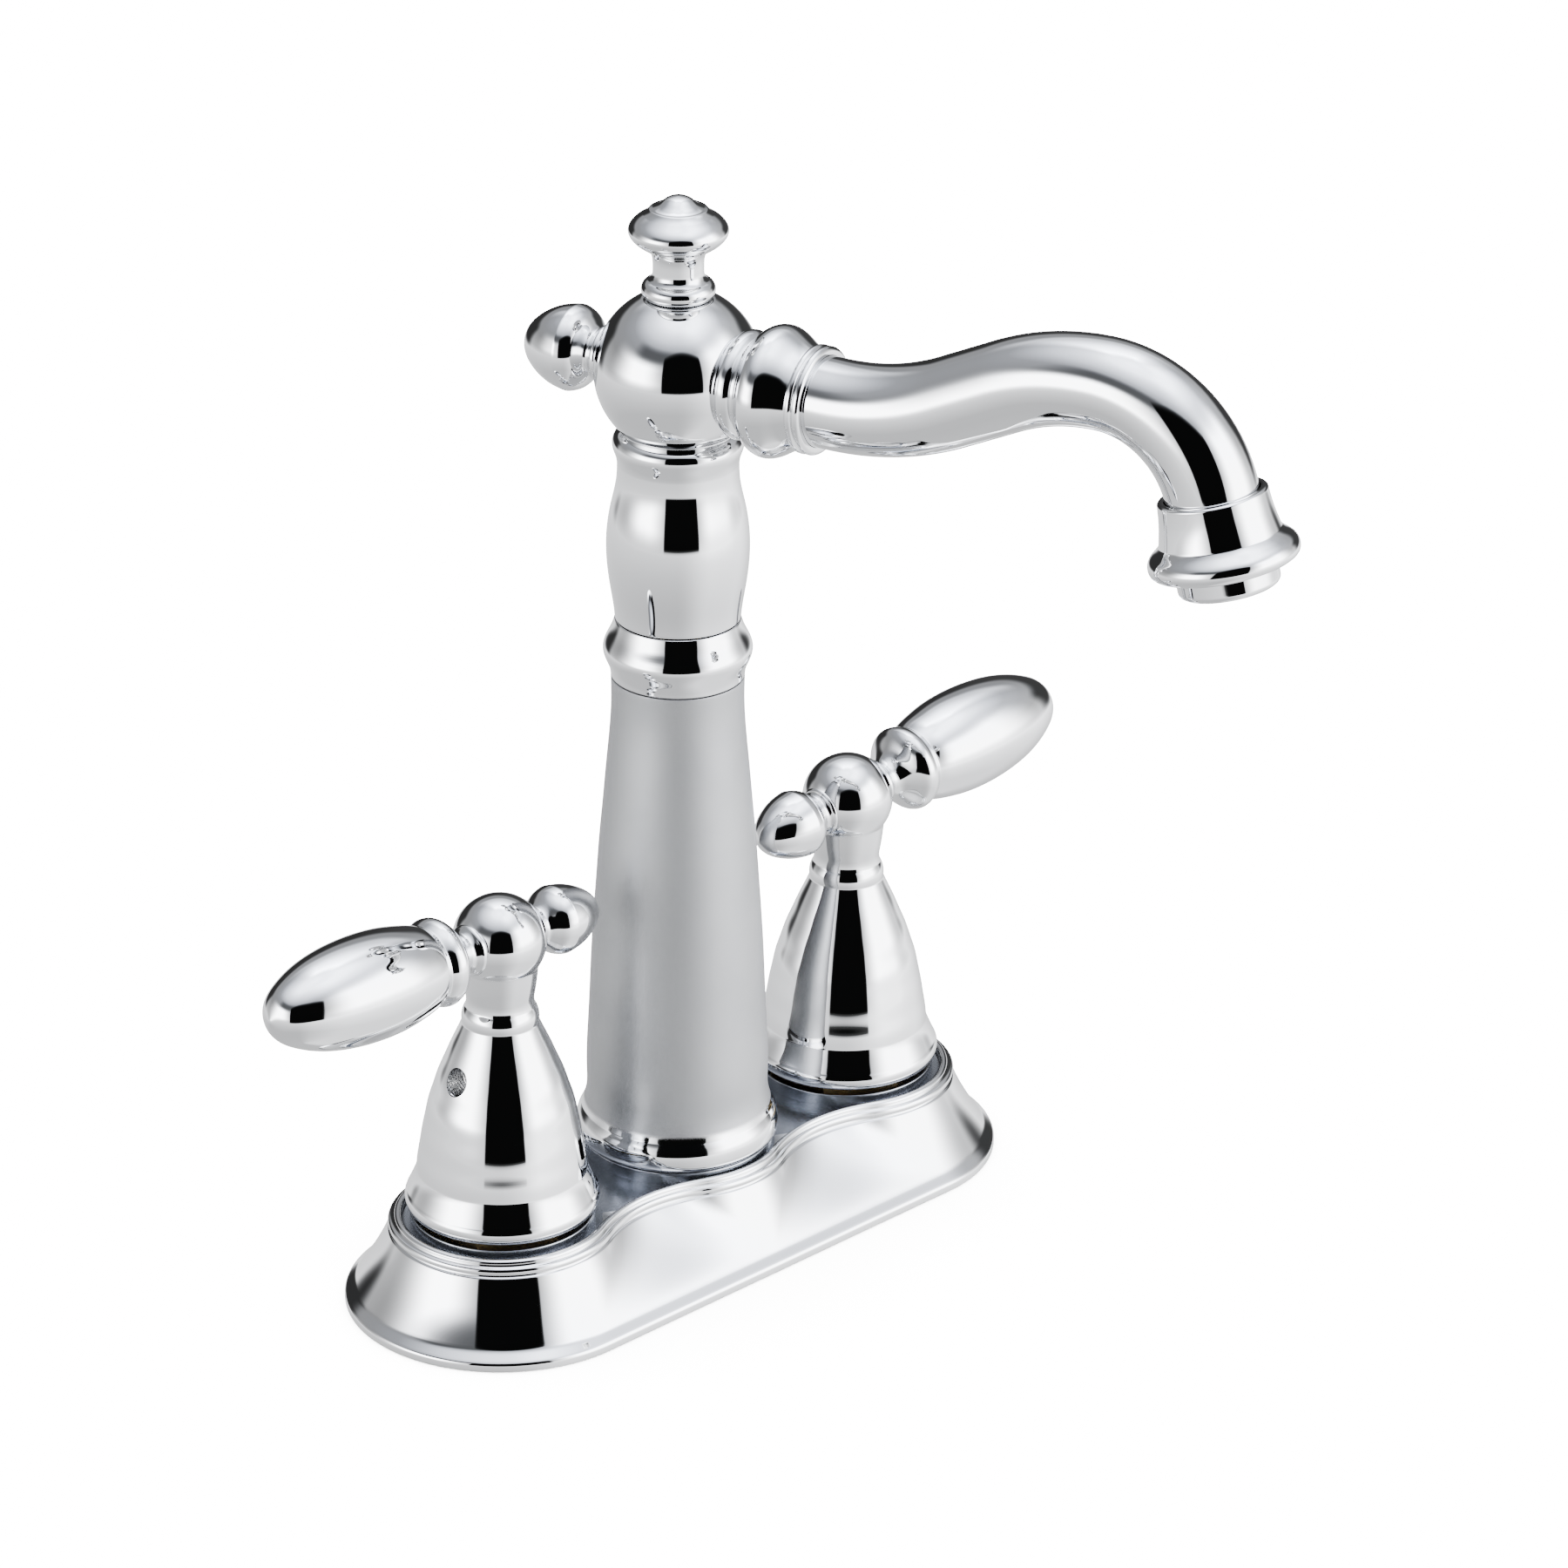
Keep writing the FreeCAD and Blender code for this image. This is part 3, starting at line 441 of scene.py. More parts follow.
def cappedRows(rows, height):
    # the rows end in one pole on the axis
    return np.concatenate([np.stack(rows), np.tile([0, 0, height], (1, len(rows[0]), 1))])


def deckSkin():
    # the outside climbs edge, ledge, wall and two beads; the inside comes back down the hollow
    foot, face, ledge, top = deck["foot"], deck["footFace"], deck["ledge"], deck["top"]
    line = profileOf([*straightRuns((foot - face, 0), (foot, 0), (foot, deck["edgeTop"]), ledge),
                      wallLine(0, ledge[1], top[1])], 0.55, deck["corner"])
    rows = [lobedRow(r, waistAt(z), z) for r, z in line]
    quarter = math.pi / 2
    # the lower bead from the wall to the groove, then the upper one up and over into the recess
    rows += beadRows(*deck["lowerBead"], -1.25, 0.95, 10)
    rows += beadRows(*deck["upperBead"], -0.6, quarter, 9)
    rows += beadRows(*deck["upperBead"], quarter - 0.2, 0.0, 7, side=-1)
    inner, floor = deck["upperBead"][0] - deck["upperBead"][2], deck["floor"]
    rows += [lobedRow(inner, deck["topWaist"], floor + z) for z in (0.9, 0.5, 0.1)]
    rows += [lobedRow(inner - inset, deck["topWaist"], floor) for inset in (0.1, 0.8)]
    over = skinOf(cappedRows(rows, floor))
    wall, roof = deck["wall"], floor - deck["wall"]
    line = [(foot - face, 0), (ledge[0] - wall, 0), (ledge[0] - wall, ledge[1])]
    line += wallLine(wall, ledge[1] + 0.6, roof)
    verts, quads, tris = skinOf(cappedRows([lobedRow(r, waistAt(z), z) for r, z in line], roof))
    under = (verts, quads[:, ::-1], tris[:, ::-1])
    seats = []
    for x, radius in deck["seats"]:
        low, high = deck["seatFoot"], deck["seatTop"]
        seat = turnedFrom(straightRuns((0, low), (radius, low), (radius, high), (0, high)), 1.2, 0.3, 128)
        seats.append(turnedAbout(seat, shift=(x, 0, 0)))
    return joined(over, under, *seats)


finishedPiece("deckPlateSkin", deckSkin(), plateChrome, "base", "polished_chrome", "deck_plate")
print("deck plate made")

# Valve body, nuts and washers under the deck plate

# flange is (radius, low, high), barrel (radius, top), bridge (radius, height), boss (radius, top),
# nut (across its flats, bottom, top of the flats, top), washer (radius, bore, bottom, top)
valve = {"shank": 10.25, "endShank": 9.95, "endTop": -32.0, "bottom": -50.0, "bore": 6.0, "boreTop": 3.5,
         "pitch": 1.81, "thread": 0.95, "flange": (17.0, 2.0, 5.0), "barrel": (12.35, 27.0),
         "barrelBore": 9.0, "barrelFloor": 9.0, "seatPocket": 3.5, "seatRise": 5.5, "seatBore": 1.8,
         "bridge": (4.5, 11.5), "bridgeGap": 11, "boss": (10.0, 16.0), "nut": (30.0, -30.0, -24.0, -22.0),
         "nutFlange": 16.9, "nutPlay": 0.15, "nutThread": 0.5, "washer": (19.0, 10.4, -22.0, -20.4)}


def threadWave(turns):
    # one ridge and one groove to each turn, from 0 to 1
    return 0.5 - 0.5 * np.cos(2 * math.pi * turns)


def threaded(profile, spans, pitch, depth, steps=80):
    # inside each span of heights the radius dips along a helix: depth * wave(h / pitch - t / full turn)
    t = anglesOf(steps)
    r, h = profile[:, :1], profile[:, 1:]
    dip = 0.0
    for low, high, least in spans:
        inside = np.clip(np.minimum(h - low, high - h) / (0.6 * pitch), 0, 1) * (r > least)
        dip = dip + inside * depth * threadWave(h / pitch - t[None] / (2 * math.pi)) ** 0.8
    radius = r - dip
    return skinOf(np.stack([radius * np.cos(t), radius * np.sin(t), h + 0 * t], -1), ring=True)


def valveSideSkin():
    flange, low, high = valve["flange"]
    barrel, top = valve["barrel"]
    end, shank, bore, bottom = valve["endShank"], valve["shank"], valve["bore"], valve["bottom"]
    step, wide, pocket, narrow = valve["endTop"], valve["barrelBore"], valve["seatPocket"], valve["seatBore"]
    floor, seat, inlet = valve["barrelFloor"], valve["seatRise"], valve["boreTop"]
    outside = profileOf(straightRuns((bore, bottom), (end - 0.8, bottom), (end, bottom + 0.8), (end, step),
                                     (shank, step + 0.4), (shank, low), (flange, low), (flange, high),
                                     (barrel, high), (barrel, top - 0.5), (barrel - 0.5, top), (wide, top)),
                        0.30, 0.15)
    inside = profileOf(straightRuns((wide, top), (wide, floor), (pocket, floor), (pocket, seat),
                                    (narrow, seat), (narrow, inlet), (bore, inlet), (bore, bottom)), 1.5, 0.4)
    # each span is (bottom, top, least radius that is threaded)
    spans = ((bottom + 0.6, -3.0, 8.0), (20.0, top, 10.0))
    return threaded(np.r_[outside, inside[1:-1]], spans, valve["pitch"], valve["thread"])


def valveSkin():
    radius, at = valve["bridge"]
    reach = half - valve["bridgeGap"]
    line = np.array([(0, -reach), (radius, -reach), (radius, reach), (0, reach)], float)
    bridge = aimedSkin(turnedSkin(line, 48), (1, 0, 0), (0, 0, at))
    boss, top = valve["boss"]
    low = valve["flange"][1]
    middle = turnedFrom(straightRuns((0, low), (boss, low), (boss, top), (0, top)), 1.5, 0.5, 64)
    side = valveSideSkin()
    return joined(bridge, middle, turnedAbout(side, 0, (-half, 0, 0)), turnedAbout(side, 90, (half, 0, 0)))


def nutSkin():
    # six flats, their corners cut back by a cone at the lower end, standing on a round flange
    across, low, middle, top = valve["nut"]
    cornerCut, coneCut, coneRise, coneSlope, chamfer, threadEnd = 0.15, 0.4, 1.7, 1.7, 0.5, 0.6
    offsets = np.radians([-30, -29, -28.5, -27, -20, -10, 0, 10, 20, 27, 28.5, 29])
    t = np.concatenate([offsets + k * math.pi / 3 for k in range(6)])
    hexed = np.minimum(np.tile(across / 2 / np.cos(offsets), 6), across / math.sqrt(3) - cornerCut)
    flange, bore = valve["nutFlange"], valve["shank"] + valve["nutPlay"]
    rows = []

    def row(radius, height):
        r = np.broadcast_to(radius, t.shape)
        rows.append(np.stack([r * np.cos(t), r * np.sin(t), np.full(len(t), height)], -1))

    row(bore + chamfer, low)
    for h in np.linspace(0, coneRise, 9):
        row(np.minimum(hexed, across / 2 - coneCut + h * coneSlope), low + h)
    for h in (middle - 0.15, middle - 0.02, middle):
        row(hexed, h)
    for r, h in ((flange - 0.2, middle + 0.01), (flange, middle + 0.2), (flange, top - 0.2),
                 (flange - 0.2, top), (bore + chamfer, top), (bore, top - chamfer)):
        row(r, h)
    for h in np.linspace(top - threadEnd, low + threadEnd, 60):
        row(bore + valve["nutThread"] * threadWave(h / valve["pitch"] - t / (2 * math.pi)), h)
    row(bore, low + chamfer)
    skin = skinOf(np.stack(rows), ring=True)
    # each nut stopped at its own angle when it was tightened
    return joined(turnedAbout(skin, 8, (-half, 0, 0)), turnedAbout(skin, -21, (half, 0, 0)))


def washersSkin():
    outer, bore, low, top = valve["washer"]
    skin = ringFrom(straightRuns((bore, low), (outer, low), (outer, top), (bore, top), (bore, low)),
                    1.0, 0.3, 96)
    return joined(turnedAbout(skin, shift=(-half, 0, 0)), turnedAbout(skin, shift=(half, 0, 0)))


finishedPiece("valveBodySkin", valveSkin(), brass, "base", "cast_brass", "valve_body")
finishedPiece("mountingNutsSkin", nutSkin(), brass, "base", "cast_brass", "mounting_nuts")
finishedPiece("mountingWashersSkin", washersSkin(), steel, "base", "stainless_steel", "mounting_washers")
print("valve body made")

# Column and coupling ring

column = {"bottom": 21.0, "top": 129.05, "ringFrom": 129.35, "ringTo": 142.15, "wall": 1.8, "roof": 2.5,
          "postBore": 6.45, "ringBore": 11.1, "ringFloor": 2}


def columnSkin():
    bottom, top, wall, bore = column["bottom"], column["top"], column["wall"], column["postBore"]
    roof = top - column["roof"]
    runs = [[(19.0, bottom), (19.8, bottom)],
            arcThrough((19.8, bottom), (21.3, bottom + 0.9), (21.8, 23.8), 8),
            arcThrough((21.8, 23.8), (21.7, 25.6), (20.6, 28.0), 8),
            [(20.6, 28.0), (19.75, 31.0), (19.55, 36.7), (19.1, 50.2), (18.35, 66.9), (17.25, 83.4),
             (16.65, 91.6), (15.9, 99.8), (15.2, 107.9), (14.45, 116.0), (14.05, 123.0), (14.1, top)],
            *straightRuns((14.1, top), (bore, top), (bore, roof), (14.0 - wall, roof)),
            [(14.0 - wall, roof), (17.0 - wall, 83.4), (18.9 - wall, 50.2), (19.0, bottom)]]
    return ringFrom(runs, 1.0, 0.2, 160)


def couplingSkin():
    low, high, bore, wide = column["ringFrom"], column["ringTo"], column["postBore"], column["ringBore"]
    floor = low + column["ringFloor"]
    runs = [[(bore, low), (14.1, low)],
            [(14.1, low), (14.35, 131.0), (15.75, 135.3), (14.2, 139.3), (13.25, high)],
            *straightRuns((13.25, high), (wide, high), (wide, floor), (bore, floor), (bore, low))]
    return ringFrom(runs, 0.6, 0.2, 160)


finishedPiece("columnSkin", columnSkin(), satin, "base", "polished_chrome", "column_shell")
finishedPiece("couplingSkin", couplingSkin(), chrome, "base", "polished_chrome", "coupling_ring")
print("column made")

# Spout

# topFlat and topTip are heights, the other flats and rearReach are distances from the ball's middle;
# rise is (end of the level run, degrees up, bend radius, straight run), fall (bend radius, degrees down),
# insert (radius, how far it stands out of the skirt, bore)
spout = {"turn": 16.0, "ball": 17.5, "ballAt": 197.1, "bottom": 142.45, "ringDrop": 13.0, "topFlat": 212.9,
         "topTip": 234.9, "rearFlat": 16.3, "rearNeck": 5.0, "rearWidest": 9.25, "rearReach": 36.4,
         "frontFlat": 14.3, "tube": 9.5, "tubeWall": 1.6, "tubeFrom": 22.0, "rise": (38.0, 25.6, 59.7, 13.8),
         "crown": 49.5, "fall": (25.3, 76.0), "tail": 3.0, "setback": 1.0, "lip": 11.2, "skirt": 15.4,
         "outletLength": 15.2, "insert": (10.4, 4.6, 7.6), "insertFrom": 9.8, "screenAt": 9.4}


def hubSkin():
    ball, at, flat, bottom = spout["ball"], spout["ballAt"], spout["topFlat"], spout["bottom"]
    drop = spout["ringDrop"]
    meets = math.sqrt(ball ** 2 - drop ** 2)
    flatRadius = math.sqrt(ball ** 2 - (flat - at) ** 2)
    runs = [[(10.0, bottom), (13.25, bottom)],
            [(13.25, bottom), (13.35, 143.6), (14.3, 150.0), (15.0, 158.9), (14.2, 166.5), (12.8, 173.7),
             (12.7, 177.0)],
            [(12.7, 177.0), (13.0, 178.6), (13.7, 180.9), (13.2, 182.9), (meets, at - drop)],
            ballRun(ball, at, math.asin(-drop / ball), math.asin((flat - at) / ball), 30),
            [(flatRadius, flat), (0, flat)]]
    return turnedSkin(np.r_[[[0, bottom]], profileOf(runs, 0.7, 0.25)], 160)


def topFinialSkin():
    flat, tip = spout["topFlat"], spout["topTip"]
    runs = [[(0, flat), (6.3, flat)], arcThrough((6.3, flat), (7.7, 214.8), (6.2, 216.8)),
            [(6.2, 216.8), (5.5, 217.7), (5.3, 219.4), (5.6, 222.4), (6.4, 223.8)],
            [(6.4, 223.8), (7.0, 223.8)],
            [(7.0, 223.8), (9.3, 225.5), (10.35, 227.5), (9.3, 229.5), (7.2, 231.0)],
            [(7.2, 231.0), (6.5, 231.6), (6.0, 232.2)], [(6.0, 232.2), (5.3, 232.3)],
            [(5.3, 232.3), (4.3, 232.8), (2.6, 234.2), (0.9, 234.8), (0, tip)]]
    return turnedFrom(runs, 0.45, 0.15, 128)


def acornSkin(flat, neck, widest, tip):
    # foot ring, neck, widest edge and a blunt dome, along +Z from its seat on the ball
    def rise(share):
        return flat + share * (tip - flat)

    foot, shoulder, edge = (neck * 1.16, flat), (neck * 1.1, rise(0.09)), (widest, rise(0.42))
    runs = [[(0, flat), foot], arcThrough(foot, (neck * 1.28, rise(0.05)), shoulder, 7),
            [shoulder, (neck, rise(0.13)), (widest * 0.78, rise(0.245)), (widest * 0.96, rise(0.36)), edge],
            [edge, (widest * 0.94, rise(0.56)), (widest * 0.74, rise(0.76)), (widest * 0.36, rise(0.94)),
             (0, tip)]]
    return turnedFrom(runs, 0.4, 0.3, 128)


def collarSkin():
    bore, front = spout["tube"] + 0.05, spout["frontFlat"]
    runs = [[(7.0, 13.0), (10.5, front)],
            arcThrough((10.5, front), (11.5, 16.1), (10.5, 18.2)), [(10.5, 18.2), (10.5, 18.8)],
            [(10.5, 18.8), (12.3, 20.0), (13.8, 22.5), (13.9, 24.0), (12.8, 26.8), (11.2, 29.5),
             (10.6, 31.0)],
            arcThrough((10.6, 31.0), (11.4, 31.9), (10.8, 32.7)),
            arcThrough((10.8, 32.7), (11.35, 33.5), (10.45, 34.5)),
            *straightRuns((10.45, 34.5), (bore, 34.5), (bore, spout["tubeFrom"]), (7.0, 13.0))]
    return ringFrom(runs, 0.5, 0.12, 160)


def tubePath(step=1.4):
    # level, rising, over the crown and down: straight runs and arcs in the spout's own plane
    places, headings = [(spout["tubeFrom"], spout["ballAt"])], [0.0]

    def run(length):
        count = max(1, int(length / step))
        (s, z), a = places[-1], headings[-1]
        for k in range(1, count + 1):
            places.append((s + math.cos(a) * length * k / count, z + math.sin(a) * length * k / count))
            headings.append(a)

    def bend(radius, turn):
        turn = math.radians(turn)
        count = max(4, int(abs(turn) * radius / step))
        (s, z), a = places[-1], headings[-1]
        side = math.copysign(1, turn)
        cs, cz = s - side * radius * math.sin(a), z + side * radius * math.cos(a)
        for k in range(1, count + 1):
            b = a + turn * k / count
            places.append((cs + side * radius * math.sin(b), cz - side * radius * math.cos(b)))
            headings.append(b)

    start, angle, radius, straight = spout["rise"]
    run(start - spout["tubeFrom"])
    bend(radius, angle)
    run(straight)
    bend(spout["crown"], -angle)
    bend(spout["fall"][0], -spout["fall"][1])
    mouth = places[-1], headings[-1]
    run(spout["tail"])
    return np.array(places), np.array(headings), mouth


def tubeSkin():
    # rings across the path: centre + radius * (cos t * aside + sin t * above), outside and then the bore
    places, headings, _ = tubePath()
    t = anglesOf(112)[None, :, None]
    aside = np.array([1.0, 0, 0])
    above = np.stack([0 * headings, np.sin(headings), np.cos(headings)], -1)[:, None]
    centre = np.stack([0 * headings, -places[:, 0], places[:, 1]], -1)[:, None]

    def rows(radius):
        return centre + radius * (np.cos(t) * aside + np.sin(t) * above)

    outer, bore = rows(spout["tube"]), rows(spout["tube"] - spout["tubeWall"])
    return skinOf(np.concatenate([outer, bore[::-1]]), ring=True)


def outletPlaced(skin):
    (s, z), a = tubePath()[2]
    heading = np.array([0, -math.cos(a), math.sin(a)])
    return aimedSkin(skin, heading, np.array([0, -s, z]) - heading * spout["setback"])


def outletSkin():
    lip, skirt, length = spout["lip"], spout["skirt"], spout["outletLength"]
    bore, socket = spout["tube"] + 0.3, spout["insert"][0] + 0.05
    runs = [[(bore, 0), (lip - 0.6, 0)], arcThrough((lip - 0.6, 0), (lip - 0.15, 0.2), (lip, 0.8), 7),
            [(lip, 0.8), (11.5, 4.0), (12.1, 7.4), (12.4, 8.8)],
            [(12.4, 8.8), (13.2, 9.8), (14.9, 11.4), (skirt, 13.0), (15.0, 14.3), (13.6, 15.0),
             (11.9, length)],
            *straightRuns((11.9, length), (socket, length), (socket, 8.0), (bore, 6.0), (bore, 0))]
    return outletPlaced(ringFrom(runs, 0.5, 0.2, 176))


def insertSkin():
    radius, proud, bore = spout["insert"]
    start, end, edge = spout["insertFrom"], spout["outletLength"] + proud, 1.2
    runs = [*straightRuns((bore, start), (radius, start), (radius, end - edge)),
            arcThrough((radius, end - edge), (radius - 0.35, end - 0.35), (radius - edge, end), 7),
            *straightRuns((radius - edge, end), (bore, end), (bore, start))]
    return outletPlaced(ringFrom(runs, 0.5, 0.12, 144))


def screenSkin():
    # woven wires: two crossed sets, each wire a thin tube that waves over and under
    radius, step, wire, sway = spout["insert"][2] + 0.3, 0.9, 0.16, 0.12
    t = anglesOf(6)
    skins = []
    for lane in np.arange(-radius + step, radius - 0.2, step):
        reach = math.sqrt(radius ** 2 - lane ** 2)
        s = np.linspace(-reach, reach, max(8, int(reach * 2 / 0.22)))
        for crossed in (0, 1):
            wave = sway * np.cos(math.pi * (s / step + lane / step + crossed))
            u = s[:, None] + 0 * t
            v = lane + wire * np.cos(t)[None] + 0 * u
            w = wave[:, None] + wire * np.sin(t)[None]
            rows = np.stack([v, u, w], -1) if crossed else np.stack([u, -v, w], -1)
            first, last = (rows[k].mean(0) + 0 * rows[:1] for k in (0, -1))
            skins.append(skinOf(np.concatenate([first, rows, last])))
    verts, quads, tris = joined(*skins)
    return outletPlaced((verts + [0, 0, spout["screenAt"]], quads, tris))


def spoutPiece(name, skin, material, slotName, *replaced):
    finishedPiece(name, turnedAbout(skin, spout["turn"]), material, "spout", slotName, *replaced)


ballCentre = (0, 0, spout["ballAt"])
rearAcorn = acornSkin(spout["rearFlat"], spout["rearNeck"], spout["rearWidest"], spout["rearReach"])
rearAcorn = aimedSkin(rearAcorn, (0, 1, 0), ballCentre)
collar = aimedSkin(collarSkin(), (0, -1, 0), ballCentre)
spoutPiece("spoutHubSkin", hubSkin(), chrome, "polished_chrome", "spout_hub")
spoutPiece("topFinialSkin", topFinialSkin(), chrome, "polished_chrome", "top_finial")
spoutPiece("rearFinialSkin", rearAcorn, chrome, "polished_chrome", "rear_finial")
spoutPiece("spoutCollarSkin", collar, chrome, "polished_chrome", "spout_collar")
spoutPiece("spoutTubeSkin", tubeSkin(), chrome, "polished_chrome", "spout_tube")
spoutPiece("outletShellSkin", outletSkin(), chrome, "polished_chrome", "outlet_shell")
spoutPiece("outletInsertSkin", insertSkin(), chrome, "polished_chrome", "outlet_insert")
spoutPiece("outletMeshSkin", screenSkin(), steel, "stainless_steel", "outlet_screen")
print("spout made")

# Handles

# ballAt and screwAt are heights, screwFrom, screwTo and keyFrom are distances from the bell's axis;
# along the lever, flat and length are distances from the ball's middle; finial is (neck, widest, tip)
handle = {"ballAt": 84.0, "ball": 9.9, "flat": 7.6, "rise": {"hot": 2.3, "cold": 4.7}, "length": 62.2,
          "collar": 9.5, "widest": 11.3, "foot": 22.5, "finial": (4.2, 7.5, 26.8), "screwAt": 55.0,
          "hole": 2.9, "screw": 2.85, "screwFrom": 4.1, "screwTo": 9.0, "key": 1.5, "keyFrom": 7.2,
          "threadPitch": 0.8, "threadDepth": 0.16}


def bellProfile():
    at, ball, foot = handle["ballAt"], handle["ball"], handle["foot"]
    sweep = ballRun(ball, at, math.radians(-35), math.pi / 2, 26)
    sweep[-1] = (0, at + ball)
    runs = [[(18.9, foot), (19.8, foot)], arcThrough((19.8, foot), (20.6, 24.1), (20.1, 26.2)),
            [(20.1, 26.2), (19.3, 28.0), (18.4, 30.2), (18.1, 31.2)],
            [(18.1, 31.2), (17.85, 33.6), (17.35, 36.6), (16.8, 40.0), (16.1, 43.5), (15.4, 46.8),
             (14.45, 49.8), (13.4, 53.1), (12.05, 56.4), (10.65, 59.8), (9.1, 63.2), (8.1, 65.5)],
            arcThrough((8.1, 65.5), (8.1, 67.4), (7.35, 69.2), 9),
            [(7.35, 69.2), (7.15, 70.6), (7.35, 72.2), sweep[0]], sweep]
    return profileOf(runs, 0.55, 0.25)


def bellRadius(z):
    # the bell's outer radius at a height
    line = bellProfile()
    line = line[np.argsort(line[:, 1])]
    return np.interp(z, line[:, 1], line[:, 0])


def bellSkin():
    inside = profileOf([[(0, 46.0), (13.7, 46.0)],
                        [(13.7, 46.0), (15.0, 40.0), (16.0, 33.6), (18.9, handle["foot"])]], 1.2, 0.5)
    verts, quads, tris = turnedSkin(np.r_[inside, bellProfile()[1:]], 200)
    # the set screw's hole: faces in it go, and the points nearest its edge move onto the circle
    hole, at = handle["hole"], handle["screwAt"]
    y, z = verts[:, 1], verts[:, 2] - at
    away = np.hypot(y, z)
    aboveHollow, outsideOnly = 47, 8
    facing = (verts[:, 0] < 0) & (verts[:, 2] > aboveHollow)
    facing &= np.hypot(verts[:, 0], verts[:, 1]) > outsideOnly
    gone = (facing & (away < hole - 0.05))[quads].any(1) & facing[quads].all(1)
    lost = np.unique(quads[gone])
    quads = quads[~gone]
    kept = np.zeros(len(verts), bool)
    kept[np.unique(quads)] = True
    edge = lost[kept[lost]]
    y, z = y[edge] * hole / away[edge], z[edge] * hole / away[edge] + at
    verts[edge] = np.c_[-np.sqrt(bellRadius(z) ** 2 - y ** 2), y, z]
    kept[np.unique(tris)] = True
    renumbered = np.cumsum(kept) - 1
    return verts[kept], renumbered[quads], renumbered[tris]


def screwHoleSkin():
    # threaded wall: radius waves along the hole with the turn, from the bell's face to the screw
    t = anglesOf(48)
    depth = np.linspace(0, 1, 40)[:, None]
    hole, at, end = handle["hole"], handle["screwAt"], -4.2
    y, z = hole * np.cos(t), at + hole * np.sin(t)
    face = -np.sqrt(bellRadius(z) ** 2 - y ** 2)
    x = face + (end - face) * depth
    ridge = handle["threadDepth"] * threadWave(x / handle["threadPitch"] + t / (2 * math.pi))
    r = hole - ridge * np.clip(depth * 12, 0, 1)
    return skinOf(np.stack([x, r * np.cos(t), at + r * np.sin(t)], -1))


def leverSkin():
    flat, length, rim, widest = handle["flat"], handle["length"], handle["collar"], handle["widest"]
    foot = 4.9
    runs = [*straightRuns((0, flat - 0.5), (foot, flat - 0.5), (foot, flat)),
            arcThrough((foot, flat), (5.5, 8.5), (foot, 9.4), 7),
            [(foot, 9.4), (4.2, 10.2), (4.4, 11.8), (6.5, 14.0), (8.9, 16.0), (rim, 17.2), (9.1, 19.2),
             (8.4, 20.4)],
            [(8.4, 20.4), (9.1, 22.0), (10.1, 25.6), (10.9, 30.0), (widest, 36.5), (10.9, 43.5), (9.6, 50.3),
             (7.3, 56.3), (4.3, 60.4), (0, length)]]
    return turnedFrom(runs, 0.6, 0.2, 144)


def screwSkin():
    # a plain cup with a hexagon socket in its outer end
    radius, start, end, key = handle["screw"], handle["screwFrom"], handle["screwTo"], handle["key"]
    line = profileOf(straightRuns((key, end), (radius - 0.25, end), (radius, end - 0.25), (radius, start),
                                  (0, start)), 0.6, 0.06)
    t = anglesOf(96)
    hexed = key / np.cos((t + math.pi / 6) % (math.pi / 3) - math.pi / 6)
    rows = list(line[::-1])
    rows += [(hexed, end - 0.05), (hexed, handle["keyFrom"]), (0 * hexed, handle["keyFrom"])]
    return skinOf(np.stack([np.c_[r * np.cos(t), r * np.sin(t), x + 0 * t] for r, x in rows]))


def addHandle(side, turn, x):
    rise = math.radians(handle["rise"][side])
    outward = np.array([-math.cos(rise), 0, math.sin(rise)])
    ball, screwAt = (0, 0, handle["ballAt"]), (0, 0, handle["screwAt"])

    def piece(name, skin, material, slotName, *replaced):
        finishedPiece(side + name, turnedAbout(skin, turn, (x, 0, 0)), material, side + "_handle", slotName,
                      *replaced)

    neck, widest, tip = handle["finial"]
    acorn = aimedSkin(acornSkin(handle["flat"] - 0.3, neck, widest, tip), -outward, ball)
    piece("BellSkin", bellSkin(), chrome, "polished_chrome", side + "_handle_hub")
    piece("ScrewHoleSkin", screwHoleSkin(), chrome, "polished_chrome")
    piece("SetScrewSkin", aimedSkin(screwSkin(), (-1, 0, 0), screwAt), steel, "stainless_steel",
          side + "_set_screw")
    piece("LeverSkin", aimedSkin(leverSkin(), outward, ball), chrome, "polished_chrome", side + "_lever")
    piece("FinialSkin", acorn, chrome, "polished_chrome", side + "_lever_finial")


addHandle("hot", 0, -half)
addHandle("cold", 180, half)
print("handles made")

# Finishes on the solids that stay as they are

slotFinish = {"polished_chrome": chrome, "cast_brass": brass, "stainless_steel": steel,
              "black_rubber": rubber, "nylon": nylon}
for entry in frame["record"]["subparts"]:
    solid = frame["nodes"][entry["node"]]
    solid.data.materials.clear()
    solid.data.materials.append(slotFinish[entry["material_slot"]])
print("finishes set")

# Studio: floor, the surroundings that the chrome mirrors, and the camera

# angles in degrees, lengths in metres; the camera turns from -Y towards -X
view = {"place": (-0.8366, -0.8855, 0.6708), "azimuth": -44.43, "elevation": 24.97, "roll": 0.53,
        "lens": 146.03, "sensor": 36, "near": 0.05, "far": 30}

# from coolFrom degrees up, over coolOver degrees, the light turns from neutral to cool
studio = {"floorTone": 0.86, "floorSize": 14.0, "floorDrop": 0.0002, "worldStrength": 24.0, "domeRadius": 2.6,
          "domeHeight": 0.11, "neutral": (0.985, 0.993, 1.01), "cool": (0.90, 0.945, 1.05), "coolFrom": 12,
          "coolOver": 38}

